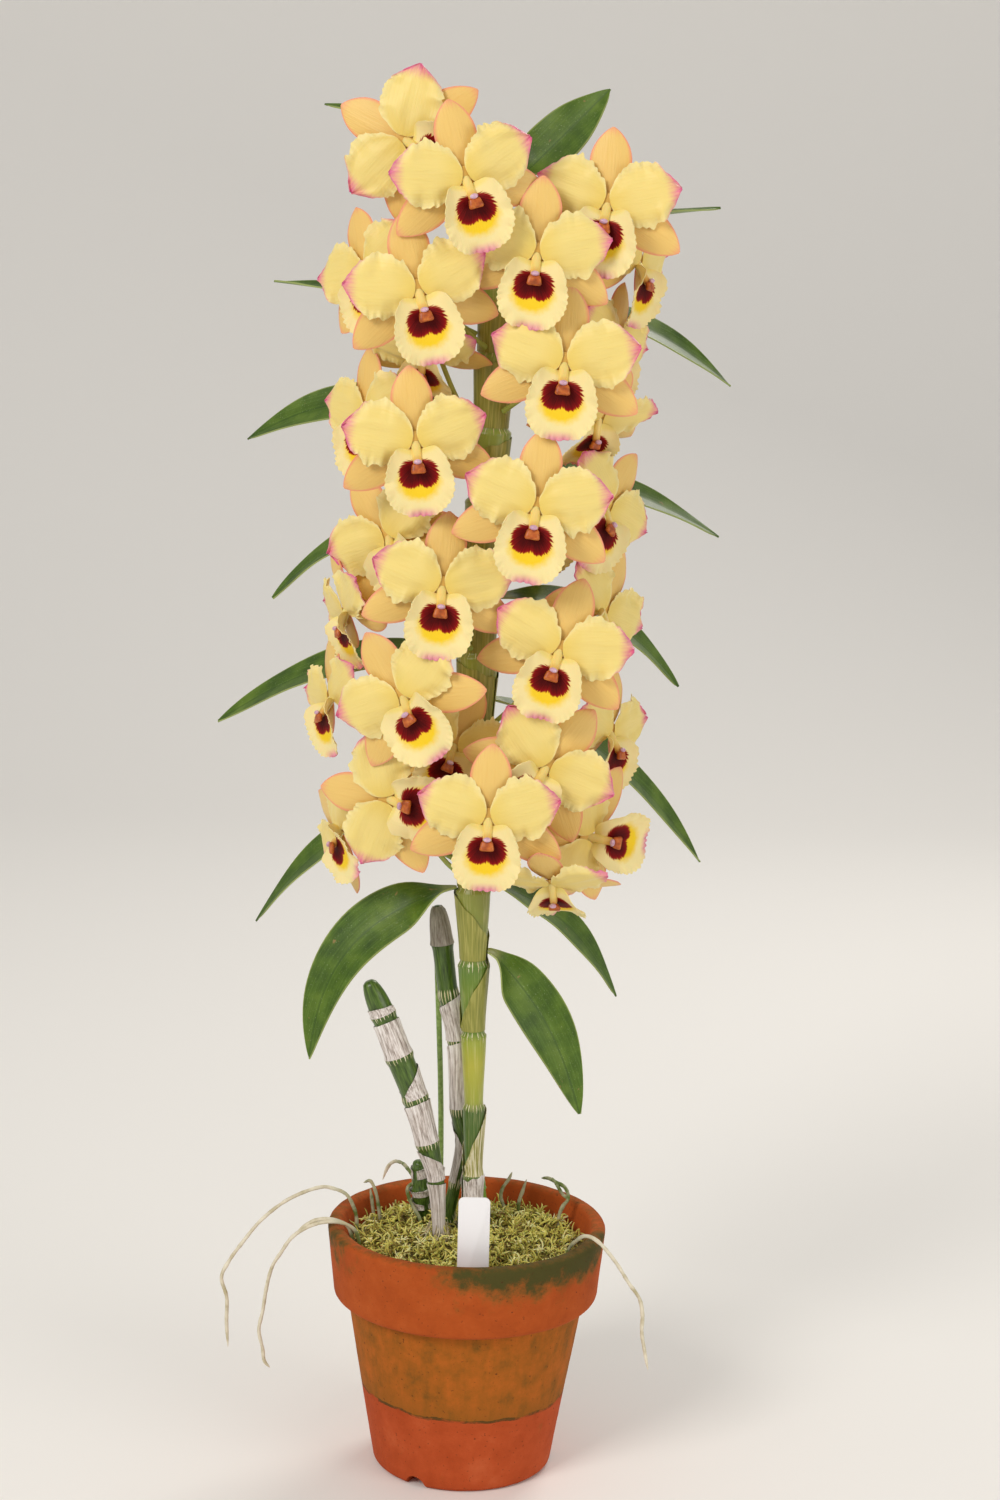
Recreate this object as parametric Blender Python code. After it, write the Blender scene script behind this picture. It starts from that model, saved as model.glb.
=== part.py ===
"""A soft-cane dendrobium orchid in flower, growing in a terracotta pot of sphagnum moss.

Metres, +Z up. The front of the plant faces -Y. Every piece is placed from the pot's axis, and
at the end the whole plant is set with its origin on the floor under the middle of its box.
"""

import math

import bmesh
import bpy
from mathutils import Matrix, Vector, noise

MM = 0.001
CLEAR = 0.4 * MM  # left between two pieces that touch

# Terracotta pot, 150 mm across its rim
RIM_RADIUS = 75 * MM
POT_HEIGHT = 135 * MM
COLLAR_HEIGHT = 40 * MM
COLLAR_LOW_RADIUS = 71 * MM
BODY_TOP_RADIUS = 64 * MM
FOOT_RADIUS = 48 * MM
WALL = 8 * MM
FOOT_RING_INNER = 37 * MM
FOOT_RECESS = 5 * MM
FLOOR_THICKNESS = 10 * MM
DRAIN_RADIUS = 10 * MM
POT_STEPS = 36
NOTCH_RADIUS = 6 * MM
NOTCH_ANGLES = (240, 0, 120)  # degrees round the foot, the first at the front left

# Moss
MOSS_EDGE_HEIGHT = 120 * MM
MOSS_DOME = 8 * MM
MOSS_LUMP = 3 * MM

# Label and stake
LABEL_WIDTH = 16.5 * MM
LABEL_DEPTH = 0.9 * MM
LABEL_LOW = 106 * MM
LABEL_HIGH = 168 * MM
LABEL_PLACE = Vector((4, -56, 0)) * MM
STAKE_ROUTE = [Vector(place) * MM for place in ((-15, 26, 108), (-16, 26, 190), (-20, 26, 276))]
STAKE_RADIUS = 1.5 * MM

# Main cane: heights of its joints, and its radius halfway up each length between them
JOINTS = [
    value * MM for value in (126, 163, 201, 241, 280, 320, 362, 404, 445, 486, 525, 561, 599, 634, 669, 692)
]
THIN_RADIUS = 5.0 * MM
STOUT_RADIUS = 9.6 * MM
CANE_SINK = 16 * MM  # how far its foot goes down under its first joint, in the moss
CANE_SIDES = 8

# Flower, at size 1
DORSAL_LENGTH = 35 * MM
SEPAL_LENGTH = 42 * MM
SEPAL_WIDTH = 20 * MM
PETAL_LENGTH = 36 * MM
PETAL_WIDTH = 31 * MM
PETAL_ANGLE = 72
LATERAL_ANGLE = 119
LIP_LENGTH = 36 * MM
LIP_WIDTH = 36 * MM
BLADE_THICKNESS = 1.5 * MM  # at the middle of a petal, thinning to its edge
HUB_RADIUS = 4.6 * MM
HUB_DEPTH = 1.6 * MM
COLUMN_RADIUS = 3.0 * MM
STALK_RADIUS = 1.3 * MM

# Leaves
LEAF_THICKNESS = 1.8 * MM

# Aerial roots
ROOT_RADIUS = 0.95 * MM


def clear_scene():
    for old in list(bpy.data.objects):
        bpy.data.objects.remove(old)


def finish(name, colour, roughness):
    """A plain material of one colour."""
    material = bpy.data.materials.new(name)
    material.use_nodes = True
    shader = material.node_tree.nodes["Principled BSDF"]
    shader.inputs["Base Color"].default_value = (*colour, 1)
    shader.inputs["Roughness"].default_value = roughness
    shader.inputs["Metallic"].default_value = 0
    material.diffuse_color = (*colour, 1)
    return material


def solid(name, bm, material, place=None):
    """The closed shape in bm as an object, its faces turned outwards."""
    bmesh.ops.recalc_face_normals(bm, faces=bm.faces)
    mesh = bpy.data.meshes.new(name)
    bm.to_mesh(mesh)
    bm.free()
    mesh.materials.append(material)
    mesh.shade_smooth()
    mesh.set_sharp_from_angle(angle=math.radians(40))
    obj = bpy.data.objects.new(name, mesh)
    obj.matrix_world = place or Matrix()
    bpy.context.scene.collection.objects.link(obj)
    return obj


def combine(target, others, operation):
    """Joins or cuts target with all the others in one Boolean, and removes them."""
    group = bpy.data.collections.new(target.name + "_with")
    bpy.context.scene.collection.children.link(group)
    for other in others:
        bpy.context.scene.collection.objects.unlink(other)
        group.objects.link(other)
    modifier = target.modifiers.new("combine", "BOOLEAN")
    modifier.operand_type = "COLLECTION"
    modifier.collection = group
    modifier.operation = operation
    modifier.solver = "EXACT"
    bpy.context.view_layer.update()
    graph = bpy.context.evaluated_depsgraph_get()
    result = bpy.data.meshes.new_from_object(target.evaluated_get(graph))
    result.name = target.name
    target.modifiers.clear()
    target.data = result
    for other in list(group.objects):
        bpy.data.objects.remove(other)
    bpy.data.collections.remove(group)
    target.data.set_sharp_from_angle(angle=math.radians(40))
    return target


def curve_through(points, per_span):
    """Points along a smooth curve through the given ones, with per_span steps from each to the next."""
    ends = [2 * points[0] - points[1], *points, 2 * points[-1] - points[-2]]
    found = []
    for i in range(1, len(ends) - 2):
        a, b, c, d = ends[i - 1 : i + 3]
        for step in range(per_span):
            t = step / per_span
            bend = (2 * a - 5 * b + 4 * c - d) * t**2 + (3 * b - a - 3 * c + d) * t**3
            found.append((2 * b + (c - a) * t + bend) / 2)
    found.append(points[-1])
    return found


def tube(points, radii, sides):
    """A closed tube along points with a radius at each."""
    bm = bmesh.new()
    along = (points[1] - points[0]).normalized()
    side = along.orthogonal().normalized()
    rings = []
    for i, point in enumerate(points):
        after = points[min(i + 1, len(points) - 1)]
        before = points[max(i - 1, 0)]
        along = (after - before).normalized()
        side = (side - along * side.dot(along)).normalized()
        across = along.cross(side)
        ring = []
        for k in range(sides):
            angle = 2 * math.pi * k / sides
            offset = side * math.cos(angle) + across * math.sin(angle)
            ring.append(bm.verts.new(point + offset * radii[i]))
        rings.append(ring)
    for low, high in zip(rings, rings[1:]):
        for k in range(sides):
            following = (k + 1) % sides
            bm.faces.new((low[k], low[following], high[following], high[k]))
    bm.faces.new(rings[0])
    bm.faces.new(rings[-1])
    bmesh.ops.triangulate(bm, faces=bm.faces)
    return bm


def blade_row(bm, middle, t, columns, thickness):
    """The front and back corners of one row across a petal or leaf. The two rows share their ends.

    middle(s, t) is its middle surface, with s from -1 to 1 across and t from 0 at its root to 1 at its tip.
    """
    small = 0.01
    front = []
    back = []
    for j in range(columns + 1):
        s = 2 * j / columns - 1
        point = middle(s, t)
        if j in (0, columns):
            edge = bm.verts.new(point)
            front.append(edge)
            back.append(edge)
            continue
        across = middle(s + small, t) - middle(s - small, t)
        along = middle(s, t + small) - middle(s, t - small)
        half = across.cross(along).normalized() * thickness / 2
        front.append(bm.verts.new(point + half))
        back.append(bm.verts.new(point - half))
    return front, back


def cover_blade(bm, rows, tip):
    """Lays like triangles over the front and the back of a petal or leaf, from its root row to its tip."""
    for face_rows in zip(*rows):
        for low, high in zip(face_rows, face_rows[1:]):
            columns = len(low) - 1
            for j in range(columns):
                if j < columns / 2:
                    bm.faces.new((low[j], low[j + 1], high[j]))
                    bm.faces.new((low[j + 1], high[j + 1], high[j]))
                else:
                    bm.faces.new((low[j], low[j + 1], high[j + 1]))
                    bm.faces.new((low[j], high[j + 1], high[j]))
        last = face_rows[-1]
        for a, b in zip(last, last[1:]):
            bm.faces.new((a, b, tip))


def ease(t):
    t = min(max(t, 0), 1)
    return t * t * (3 - 2 * t)


# Pot


def pot_outside(height):
    """Radius of the pot's tapered body under its collar."""
    return FOOT_RADIUS + (BODY_TOP_RADIUS - FOOT_RADIUS) * height / (POT_HEIGHT - COLLAR_HEIGHT)


def pot_inside(height):
    """Radius of the pot's inner wall."""
    top = RIM_RADIUS - WALL
    low = FOOT_RADIUS - WALL + 2 * MM
    return low + (top - low) * (height - FLOOR_THICKNESS) / (POT_HEIGHT - FLOOR_THICKNESS)


def make_pot(material):
    collar_low = POT_HEIGHT - COLLAR_HEIGHT
    round_edge = 3 * MM
    profile = [
        (FOOT_RING_INNER, 0),
        (FOOT_RADIUS - 1.4 * round_edge, 0),
        (pot_outside(0) - 0.4 * round_edge, 0.4 * round_edge),
        (pot_outside(1.5 * round_edge), 1.5 * round_edge),
        (BODY_TOP_RADIUS, collar_low - 0.5 * round_edge),
        (COLLAR_LOW_RADIUS - round_edge, collar_low),
        (COLLAR_LOW_RADIUS, collar_low + round_edge),
        (RIM_RADIUS, POT_HEIGHT - round_edge),
        (RIM_RADIUS - 0.4 * round_edge, POT_HEIGHT - 0.3 * round_edge),
        (RIM_RADIUS - 1.2 * round_edge, POT_HEIGHT),
        (RIM_RADIUS - WALL + 0.6 * round_edge, POT_HEIGHT - 0.3 * round_edge),
        (pot_inside(POT_HEIGHT - 1.5 * round_edge), POT_HEIGHT - 1.5 * round_edge),
        (pot_inside(FLOOR_THICKNESS + FOOT_RECESS), FLOOR_THICKNESS + FOOT_RECESS),
        (DRAIN_RADIUS, FLOOR_THICKNESS + FOOT_RECESS),
        (DRAIN_RADIUS, FOOT_RECESS),
        (FOOT_RING_INNER - FOOT_RECESS / 2, FOOT_RECESS),
    ]
    bm = bmesh.new()
    corners = [bm.verts.new((radius, 0, height)) for radius, height in profile]
    edges = [bm.edges.new(pair) for pair in zip(corners, corners[1:] + corners[:1])]
    bmesh.ops.spin(
        bm, geom=corners + edges, axis=(0, 0, 1), steps=POT_STEPS, angle=math.tau, use_merge=True
    )
    bmesh.ops.triangulate(bm, faces=bm.faces)
    pot = solid("pot", bm, material)
    notches = []
    for angle in NOTCH_ANGLES:
        out = Vector((math.cos(math.radians(angle)), math.sin(math.radians(angle)), 0))
        inner = out * (FOOT_RING_INNER - 4 * MM)
        outer = out * (FOOT_RADIUS + 6 * MM)
        notches.append(solid("notch", tube([inner, outer], [NOTCH_RADIUS, NOTCH_RADIUS], 10), material))
    return combine(pot, notches, "DIFFERENCE")


# Moss


def moss_top(x, y):
    """Height of the moss, domed and lumpy."""
    radius = math.hypot(x, y)
    dome = MOSS_DOME * (1 - (radius / RIM_RADIUS) ** 2)
    lumps_per_metre = 90
    return MOSS_EDGE_HEIGHT + dome + MOSS_LUMP * noise.noise(Vector((x, y, 0)) * lumps_per_metre)


def make_moss(material, stems):
    """The plug of moss, with a plain hole for each of the stems."""
    bm = bmesh.new()
    sectors = 28
    floor = FLOOR_THICKNESS + FOOT_RECESS + CLEAR
    edge = MOSS_EDGE_HEIGHT
    rings = [(pot_inside(floor) - CLEAR, floor), (pot_inside(edge) - 2 * CLEAR, None)]
    rings += [(pot_inside(edge) * share, None) for share in (0.86, 0.64, 0.42, 0.2)]
    levels = []
    for k, (radius, height) in enumerate(rings):
        level = []
        for i in range(sectors):
            angle = math.tau * (i + k / 2) / sectors
            x = radius * math.cos(angle)
            y = radius * math.sin(angle)
            level.append(bm.verts.new((x, y, moss_top(x, y) if height is None else height)))
        levels.append(level)
    for k, (low, high) in enumerate(zip(levels, levels[1:])):
        for i in range(sectors):
            following = (i + 1) % sectors
            bm.faces.new((low[i], low[following], high[i]))
            bm.faces.new((low[following], high[following], high[i]))
    middle = bm.verts.new((0, 0, moss_top(0, 0)))
    under = bm.verts.new((0, 0, floor))
    for i in range(sectors):
        following = (i + 1) % sectors
        bm.faces.new((levels[-1][i], levels[-1][following], middle))
        bm.faces.new((levels[0][following], levels[0][i], under))
    moss = solid("potting_moss", bm, material)
    holes = []
    for points, radii, sides in stems:
        wider = [radius / math.cos(math.pi / sides) + CLEAR for radius in radii]
        start = points[0] + (points[0] - points[1]).normalized() * CLEAR
        holes.append(solid("hole", tube([start, *points[1:]], wider, sides), material))
    return combine(moss, holes, "DIFFERENCE")


# Label and stake


def make_label(material):
    """A tag with rounded top corners, pushed into the moss inside the front rim."""
    bm = bmesh.new()
    half = LABEL_WIDTH / 2
    corner = 2 * MM
    cut = 0.3 * corner
    outline = [(-half, LABEL_LOW), (half, LABEL_LOW), (half, LABEL_HIGH - corner),
               (half - cut, LABEL_HIGH - cut), (half - corner, LABEL_HIGH), (corner - half, LABEL_HIGH),
               (cut - half, LABEL_HIGH - cut), (-half, LABEL_HIGH - corner)]
    face = bm.faces.new([bm.verts.new((x, 0, z)) for x, z in outline])
    grown = bmesh.ops.extrude_face_region(bm, geom=[face])
    back = [v for v in grown["geom"] if isinstance(v, bmesh.types.BMVert)]
    bmesh.ops.translate(bm, vec=(0, LABEL_DEPTH, 0), verts=back)
    return solid("plant_label", bm, material, Matrix.Translation(LABEL_PLACE))


def label_slot(material):
    """The block that cuts the label's slot in the moss."""
    bm = bmesh.new()
    height = LABEL_HIGH - LABEL_LOW
    bmesh.ops.create_cube(bm, size=1)
    bmesh.ops.scale(bm, vec=(LABEL_WIDTH + 2 * CLEAR, LABEL_DEPTH + 2 * CLEAR, height), verts=bm.verts)
    centre = LABEL_PLACE + Vector((0, LABEL_DEPTH / 2, LABEL_LOW - CLEAR + height / 2))
    bmesh.ops.translate(bm, vec=centre, verts=bm.verts)
    return solid("label_slot", bm, material)


# Stems


def main_cane_axis(height):
    """Centre of the main cane at a height: it wanders a little on its way up."""
    share = height / JOINTS[-1]
    x = 3.2 * MM * math.sin(8.2 * share - 0.1) * (1 - 0.6 * share) + 4 * MM * ease(3 * share - 2)
    y = -2 * MM * math.sin(5 * share)
    return Vector((x, y, height))


def main_cane_radius(height):
    """Radius of the main cane, slim at its foot, stout in its middle and slim again at its top."""
    swell = ease((height - 0.16) / 0.24)
    taper = ease((height - 0.60) / 0.10)
    return THIN_RADIUS + (STOUT_RADIUS - THIN_RADIUS) * swell - 5 * MM * taper


def make_main_cane(material):
    """The jointed cane, each length flaring to the ring at its top, where the next sheath begins."""
    points = []
    radii = []
    foot = JOINTS[0] - CANE_SINK
    points.append(main_cane_axis(foot))
    radii.append(main_cane_radius(foot) * 0.9)
    for low, high in zip(JOINTS, JOINTS[1:]):
        span = high - low
        for share, swell in ((0.04, 0.93), (0.45, 1.0), (0.9, 1.1), (0.96, 1.12)):
            height = low + span * share
            points.append(main_cane_axis(height))
            radii.append(main_cane_radius(height) * swell)
    points.append(main_cane_axis(JOINTS[-1] + 3 * MM))
    radii.append(1.2 * MM)
    return solid("main_cane", tube(points, radii, CANE_SIDES), material)


SECOND_CANE_ROUTE = [
    Vector(place) * MM
    for place in ((-13, 12, 112), (-11, 12, 130), (-7, 12, 152), (-3, 12, 176), (-6, 12, 193), (-8, 13, 232),
                  (-13, 13, 257), (-17, 14, 285), (-20, 14, 306))
]
SECOND_CANE_RADII = [value * MM for value in (3.6, 3.8, 3.4, 4.2, 4.6, 5.0, 5.4, 5.8, 1.2)]
OLD_CANE_ROUTE = [
    Vector(place) * MM
    for place in ((-15, -8, 112), (-15, -9, 130), (-17, -10, 160), (-22, -10, 181), (-29, -10, 206),
                  (-38, -10, 229), (-47, -10, 252), (-55, -10, 270))
]
OLD_CANE_RADII = [value * MM for value in (2.6, 3.0, 4.2, 6.2, 6.8, 7.4, 6.6, 2.0)]


def make_ringed_cane(name, route, radii, sides, material):
    """A dry cane: smooth between its joints, with a raised ring at each."""
    steps = 2
    points = curve_through(route, steps)
    fine_radii = []
    for i in range(len(points)):
        low = min(i // steps, len(radii) - 2)
        share = i / steps - low
        ring = 1.07 if i % steps == 0 else 0.97
        fine_radii.append((radii[low] + (radii[low + 1] - radii[low]) * share) * ring)
    return solid(name, tube(points, fine_radii, sides), material)


BULB_ROUTE = [
    Vector(place) * MM
    for place in ((-24, 22, 112), (-24, 22, 126), (-25, 22, 134), (-26, 21, 145), (-27, 21, 157),
                  (-27, 21, 161))
]
BULB_RADII = [value * MM for value in (2.6, 2.8, 4.5, 5.2, 3.8, 1.6)]
BULB_ROOT_ROUTE = [
    Vector(place) * MM
    for place in ((-28, 23, 147), (-33, 33, 151), (-37, 47, 150), (-42, 61, 146), (-46, 71, 139), (-49, 78, 129))
]


def make_back_bulb(material):
    """The small cut-back bulb with the root that grows from it over the back of the rim."""
    root_points = curve_through(BULB_ROOT_ROUTE, 3)
    bulb = solid("back_bulb", tube(BULB_ROUTE, BULB_RADII, 8), material)
    root = solid("back_root", tube(root_points, [ROOT_RADIUS] * len(root_points), 5), material)
    return combine(bulb, [root], "UNION")


# Aerial roots: each a route by hand from the moss outwards
ROOTS = {
    "root_left_high": ((-60, 8, 117), (-60, 8, 131), (-62, 9, 138), (-66, 11, 144), (-73, 14, 146),
                       (-80, 13, 147), (-91, 10, 144), (-101, 7, 139), (-112, 4, 130), (-121, 1, 119),
                       (-128, -1, 109), (-132, -3, 100), (-129, -4, 89), (-129, -4, 75), (-128, -5, 61)),
    "root_left_low": ((-56, -18, 117), (-58, -18, 131), (-62, -17, 136), (-69, -16, 138), (-78, -15, 137),
                      (-87, -14, 133), (-94, -13, 127), (-99, -12, 119), (-104, -11, 110), (-107, -10, 98),
                      (-109, -9, 84), (-111, -9, 73), (-109, -8, 62), (-108, -8, 55), (-105, -8, 51)),
    "root_right": ((52, -31, 117), (54, -32, 131), (58, -35, 138), (63, -38, 142), (70, -42, 140),
                   (79, -44, 130), (86, -44, 119), (92, -43, 110), (94, -43, 101), (94, -43, 91),
                   (96, -43, 80), (98, -43, 70)),
    "root_inner_left": ((-47, 28, 116), (-49, 30, 130), (-51, 33, 138), (-54, 36, 143), (-58, 39, 141)),
    "root_inner_right": ((22, 40, 116), (20, 40, 128), (18, 41, 134), (19, 42, 139), (22, 44, 143),
                         (24, 46, 147)),
    "root_curly": ((49, 22, 116), (50, 22, 130), (52, 23, 136), (55, 25, 140), (53, 28, 145), (48, 31, 147),
                   (44, 34, 148), (40, 37, 147)),
}


def make_root(name, route, material):
    points = curve_through([Vector(place) * MM for place in route], 2)
    last = len(points) - 1
    radii = [ROOT_RADIUS * (1 - 0.5 * max(0, i - last + 2) / 2) for i in range(last + 1)]
    return solid(name, tube(points, radii, 5), material)


def moss_stem(route, radius, sides):
    """The lowest length of a stem, up past the moss, for the hole that it stands in."""
    low = route[0]
    high = route[1]
    top = MOSS_EDGE_HEIGHT + MOSS_DOME + 2 * MOSS_LUMP
    reach = low + (high - low) * max(1, (top - low.z) / (high.z - low.z))
    return ([low, reach], [radius, radius], sides)


# Leaves: height of the joint, side (-1 left, 1 right), length, width (mm), then in degrees above level its
# rise at the root and at the tip, its swing towards the front, and the roll of its upper face to the front
LEAVES = (
    (686, 1, 66, 27, 44, 46, -10, 62),
    (680, -1, 98, 22, 44, 8, -10, 25),
    (656, 1, 110, 20, 14, 6, -16, 8),
    (622, -1, 112, 20, 6, 4, -18, 10),
    (622, 1, 142, 24, 0, -34, -30, 26),
    (560, -1, 137, 25, 17, -28, -25, 40),
    (542, 1, 124, 22, -8, -28, -18, 22),
    (506, -1, 118, 22, 4, -46, -18, 20),
    (474, 1, 120, 24, -4, -49, -22, 24),
    (444, -1, 160, 24, -6, -33, -28, 26),
    (420, 1, 174, 24, -22, -51, -33, 22),
    (366, -1, 156, 22, -16, -52, -30, 22),
    (322, 1, 116, 22, -24, -58, -34, 24),
    (320, -1, 130, 28, -21, -83, 2, 58),
    (286, 1, 103, 27, -48, -74, 0, 64),
)


def leaf_shape(height, side, length, width, rise, fall, swing, roll):
    """middle(s, t) of one leaf, an arc that turns smoothly from its rise to its fall."""
    heading = math.radians(swing)
    outward = Vector((side * math.cos(heading), -math.sin(heading), 0))
    start = main_cane_axis(height * MM) + outward * (main_cane_radius(height * MM) * 1.12 + 1.3 * MM)
    steps = 40

    def along(t):
        place = Vector(start)
        for i in range(steps):
            part = (i + 0.5) / steps
            share = max(t * steps - i, 0)
            if i < steps - 1:
                share = min(share, 1)
            slope = math.radians(rise + (fall - rise) * ease(part))
            direction = outward * math.cos(slope) + Vector((0, 0, math.sin(slope)))
            place += direction * (length * MM / steps * share)
        return place

    def middle(s, t):
        slope = math.radians(rise + (fall - rise) * ease(t))
        tangent = outward * math.cos(slope) + Vector((0, 0, math.sin(slope)))
        level = Vector((0, -1, 0)) - tangent * tangent.dot(Vector((0, -1, 0)))
        level.normalize()
        above = level.cross(tangent).normalized() * side
        tilt = math.radians(roll) * ease(4 * t)
        across = level * math.cos(tilt) - above * math.sin(tilt)
        face = above * math.cos(tilt) + level * math.sin(tilt)
        belly = math.sin(math.pi * min(max(t, 0), 1) ** 0.8) ** 0.75
        half = width / 2 * MM * (0.2 * (1 - t) + 0.93 * belly)
        fold = 0.22 * half * abs(s)
        return along(t) + across * half * s + face * fold

    return middle


def make_leaf(name, numbers, material):
    shape = leaf_shape(*numbers)
    bm = bmesh.new()
    rows = [blade_row(bm, shape, t, 2, LEAF_THICKNESS) for t in (0, 0.1, 0.28, 0.5, 0.72, 0.9)]
    cover_blade(bm, rows, bm.verts.new(shape(0, 1)))
    front, back = rows[0]
    bm.faces.new((front[0], front[1], back[1]))
    bm.faces.new((front[2], back[1], front[1]))
    return solid(name, bm, material)


# Blooms: the joint of the cane that its stalk leaves from, then across, up and towards the front from the
# pot's axis (mm), turn to the right, nod down, spin clockwise (degrees), and size
BLOOMS = (
    (15, -45, 705, 24, -8, 0, -62, 1.0),
    (14, -13, 688, 50, 12, 4, -16, 1.0),
    (13, 57, 677, 27, -6, 0, 4, 1.0),
    (13, 76, 648, -4, 60, 10, 10, 0.9),
    (12, -35, 633, 47, 8, 4, -14, 1.0),
    (12, -63, 640, 10, -38, 0, -26, 0.92),
    (11, -34, 600, 16, -16, 46, 0, 0.84),
    (13, 23, 652, 42, 0, 4, 5, 1.0),
    (11, 38, 599, 44, 0, 0, 3, 1.03),
    (11, 65, 605, -4, 55, 6, 20, 0.9),
    (10, 58, 569, 14, 26, 45, 10, 0.86),
    (10, -35, 558, 42, 4, 2, -6, 1.0),
    (10, -62, 568, 4, -46, 0, -10, 0.92),
    (9, 26, 528, 52, 0, 0, 7, 1.03),
    (9, 64, 523, 6, 45, 4, 40, 0.95),
    (9, 28, 513, -34, 132, 10, 25, 0.88),
    (8, -20, 486, 44, 4, 0, 5, 1.0),
    (9, -50, 507, 17, -24, 4, -36, 0.98),
    (8, -72, 467, 1, -64, 20, -20, 0.86),
    (7, 40, 455, 42, -4, 2, 15, 1.0),
    (8, 64, 470, 6, 48, 4, 36, 0.95),
    (8, -40, 429, 43, -16, 2, -38, 1.0),
    (7, -79, 420, -4, -60, 4, -20, 0.86),
    (6, 36, 394, 40, 4, 0, 39, 1.0),
    (6, -12, 401, 21, 6, 4, 22, 0.9),
    (5, 6, 371, 60, 0, 0, 1, 1.0),
    (5, -47, 372, 29, -10, 0, -86, 1.0),
    (5, -74, 348, -4, -60, 10, -60, 0.86),
    (5, 58, 352, 16, 34, 4, -82, 0.95),
    (5, 39, 333, 44, -6, 58, -8, 0.86),
    (6, 70, 404, -10, 52, 6, 10, 0.88),
)


def bloom_place(joint, across, up, forward, turn, nod, spin, size):
    """Where a bloom stands: its own frame has the dorsal sepal up and the lip towards -Y."""
    place = Matrix.Translation(Vector((across, -forward, up)) * MM)
    turned = Matrix.Rotation(math.radians(turn), 4, "Z")
    nodding = Matrix.Rotation(math.radians(nod), 4, "X")
    spun = Matrix.Rotation(math.radians(spin), 4, "Y")
    return place @ turned @ nodding @ spun


def segment(angle, length, width, root, belly, lean, curl, cup, ruffle, size):
    """middle(s, t) of a sepal or petal that points angle degrees clockwise from the top of the bloom."""
    turn = math.radians(angle)
    outward = Vector((math.sin(turn), 0, math.cos(turn)))
    across = Vector((math.cos(turn), 0, -math.sin(turn)))
    peak, blunt = belly

    def middle(s, t):
        inside = min(max(t, 0), 1)
        half = width / 2 * (0.12 * (1 - t) + math.sin(math.pi * inside**peak) ** blunt)
        wave = ruffle * abs(s) ** 2 * math.sin(5 * math.pi * t + s) * inside
        back = root + length * (lean * t + curl * t * t) + cup * half * s * s + wave
        return (outward * (1.5 * MM + length * t) + across * half * s + Vector((0, back, 0))) * size

    return middle


def sepal_middle(angle, size):
    length = SEPAL_LENGTH if angle else DORSAL_LENGTH
    return segment(angle, length, SEPAL_WIDTH, 2.2 * MM, (0.85, 0.72), 0.03, 0.12, 0.15, 0, size)


def petal_middle(angle, size):
    ruffle = 1.8 * MM
    return segment(angle, PETAL_LENGTH, PETAL_WIDTH, -0.6 * MM, (0.82, 0.62), -0.06, 0.14, 0.12, ruffle, size)


def lip_middle(size):
    """middle(s, t) of the lip: it folds up round the column, then opens into a round dished limb."""
    steps = 24

    def bend(t):
        return math.radians(28 + 62 * ease(t / 0.42) + 22 * ease((t - 0.6) / 0.4))

    spine = [Vector((0, 1, -5)) * MM]
    for i in range(steps + 2):
        slope = bend((i + 0.5) / steps)
        spine.append(spine[-1] + Vector((0, -math.cos(slope), -math.sin(slope))) * LIP_LENGTH / steps)

    def middle(s, t):
        t = max(t, 0)
        index = min(int(t * steps), steps)
        centre = spine[index].lerp(spine[index + 1], t * steps - index)
        inward = Vector((0, -math.sin(bend(t)), math.cos(bend(t))))
        if t < 0.55:
            half = LIP_WIDTH / 2 * (0.6 + 0.4 * math.sin(math.pi / 2 * t / 0.55))
        else:
            half = LIP_WIDTH / 2 * math.sqrt(max(0, 1 - ((t - 0.55) / 0.45) ** 2))
        wrap = 1.5 - 1.0 * ease((t - 0.1) / 0.5)
        across = half / wrap * math.sin(s * wrap)
        lift = half / wrap * (1 - math.cos(s * wrap))
        return (centre + Vector((across, 0, 0)) + inward * lift) * size

    return middle


def perianth(size):
    """Sepals, petals and lip as one closed shape. Each segment's two faces share its rim, and its root row
    shares a corner with the segment on either side.
    """
    sepal_steps = (0.3, 0.68)
    petal_steps = (0.2, 0.5, 0.8)
    lip_steps = (0.2, 0.42, 0.72)
    lip = lip_middle(size)
    segments = []
    for angle in (0, PETAL_ANGLE, LATERAL_ANGLE, 180, 360 - LATERAL_ANGLE, 360 - PETAL_ANGLE):
        if angle == 180:
            segments.append((angle, lip_steps, 4, lambda s, t: lip(-s, t)))
        elif angle in (PETAL_ANGLE, 360 - PETAL_ANGLE):
            segments.append((angle, petal_steps, 2, petal_middle(angle, size)))
        else:
            segments.append((angle, sepal_steps, 2, sepal_middle(angle, size)))

    bm = bmesh.new()
    hubs = [bm.verts.new((0, -HUB_DEPTH * size, 0)), bm.verts.new((0, HUB_DEPTH * size, 0))]
    corners = []
    for i, (angle, *_) in enumerate(segments):
        following = segments[(i + 1) % len(segments)][0] or 360
        between = math.radians((angle + following) / 2)
        corners.append(bm.verts.new(Vector((math.sin(between), 0, math.cos(between))) * HUB_RADIUS * size))
    for i, (angle, steps, columns, middle) in enumerate(segments):
        left = corners[i - 1]
        right = corners[i]
        root = ([left], [left])
        for j in range(1, columns):
            edge = left.co.lerp(right.co, j / columns).normalized() * HUB_RADIUS * size
            root[0].append(bm.verts.new(edge - Vector((0, BLADE_THICKNESS / 2, 0))))
            root[1].append(bm.verts.new(edge + Vector((0, BLADE_THICKNESS / 2, 0))))
        for row, hub in zip(root, hubs):
            row.append(right)
            for a, b in zip(row, row[1:]):
                bm.faces.new((hub, a, b))
        rows = [root] + [blade_row(bm, middle, t, columns, BLADE_THICKNESS) for t in steps]
        cover_blade(bm, rows, bm.verts.new(middle(0, 1)))
    return bm


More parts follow.
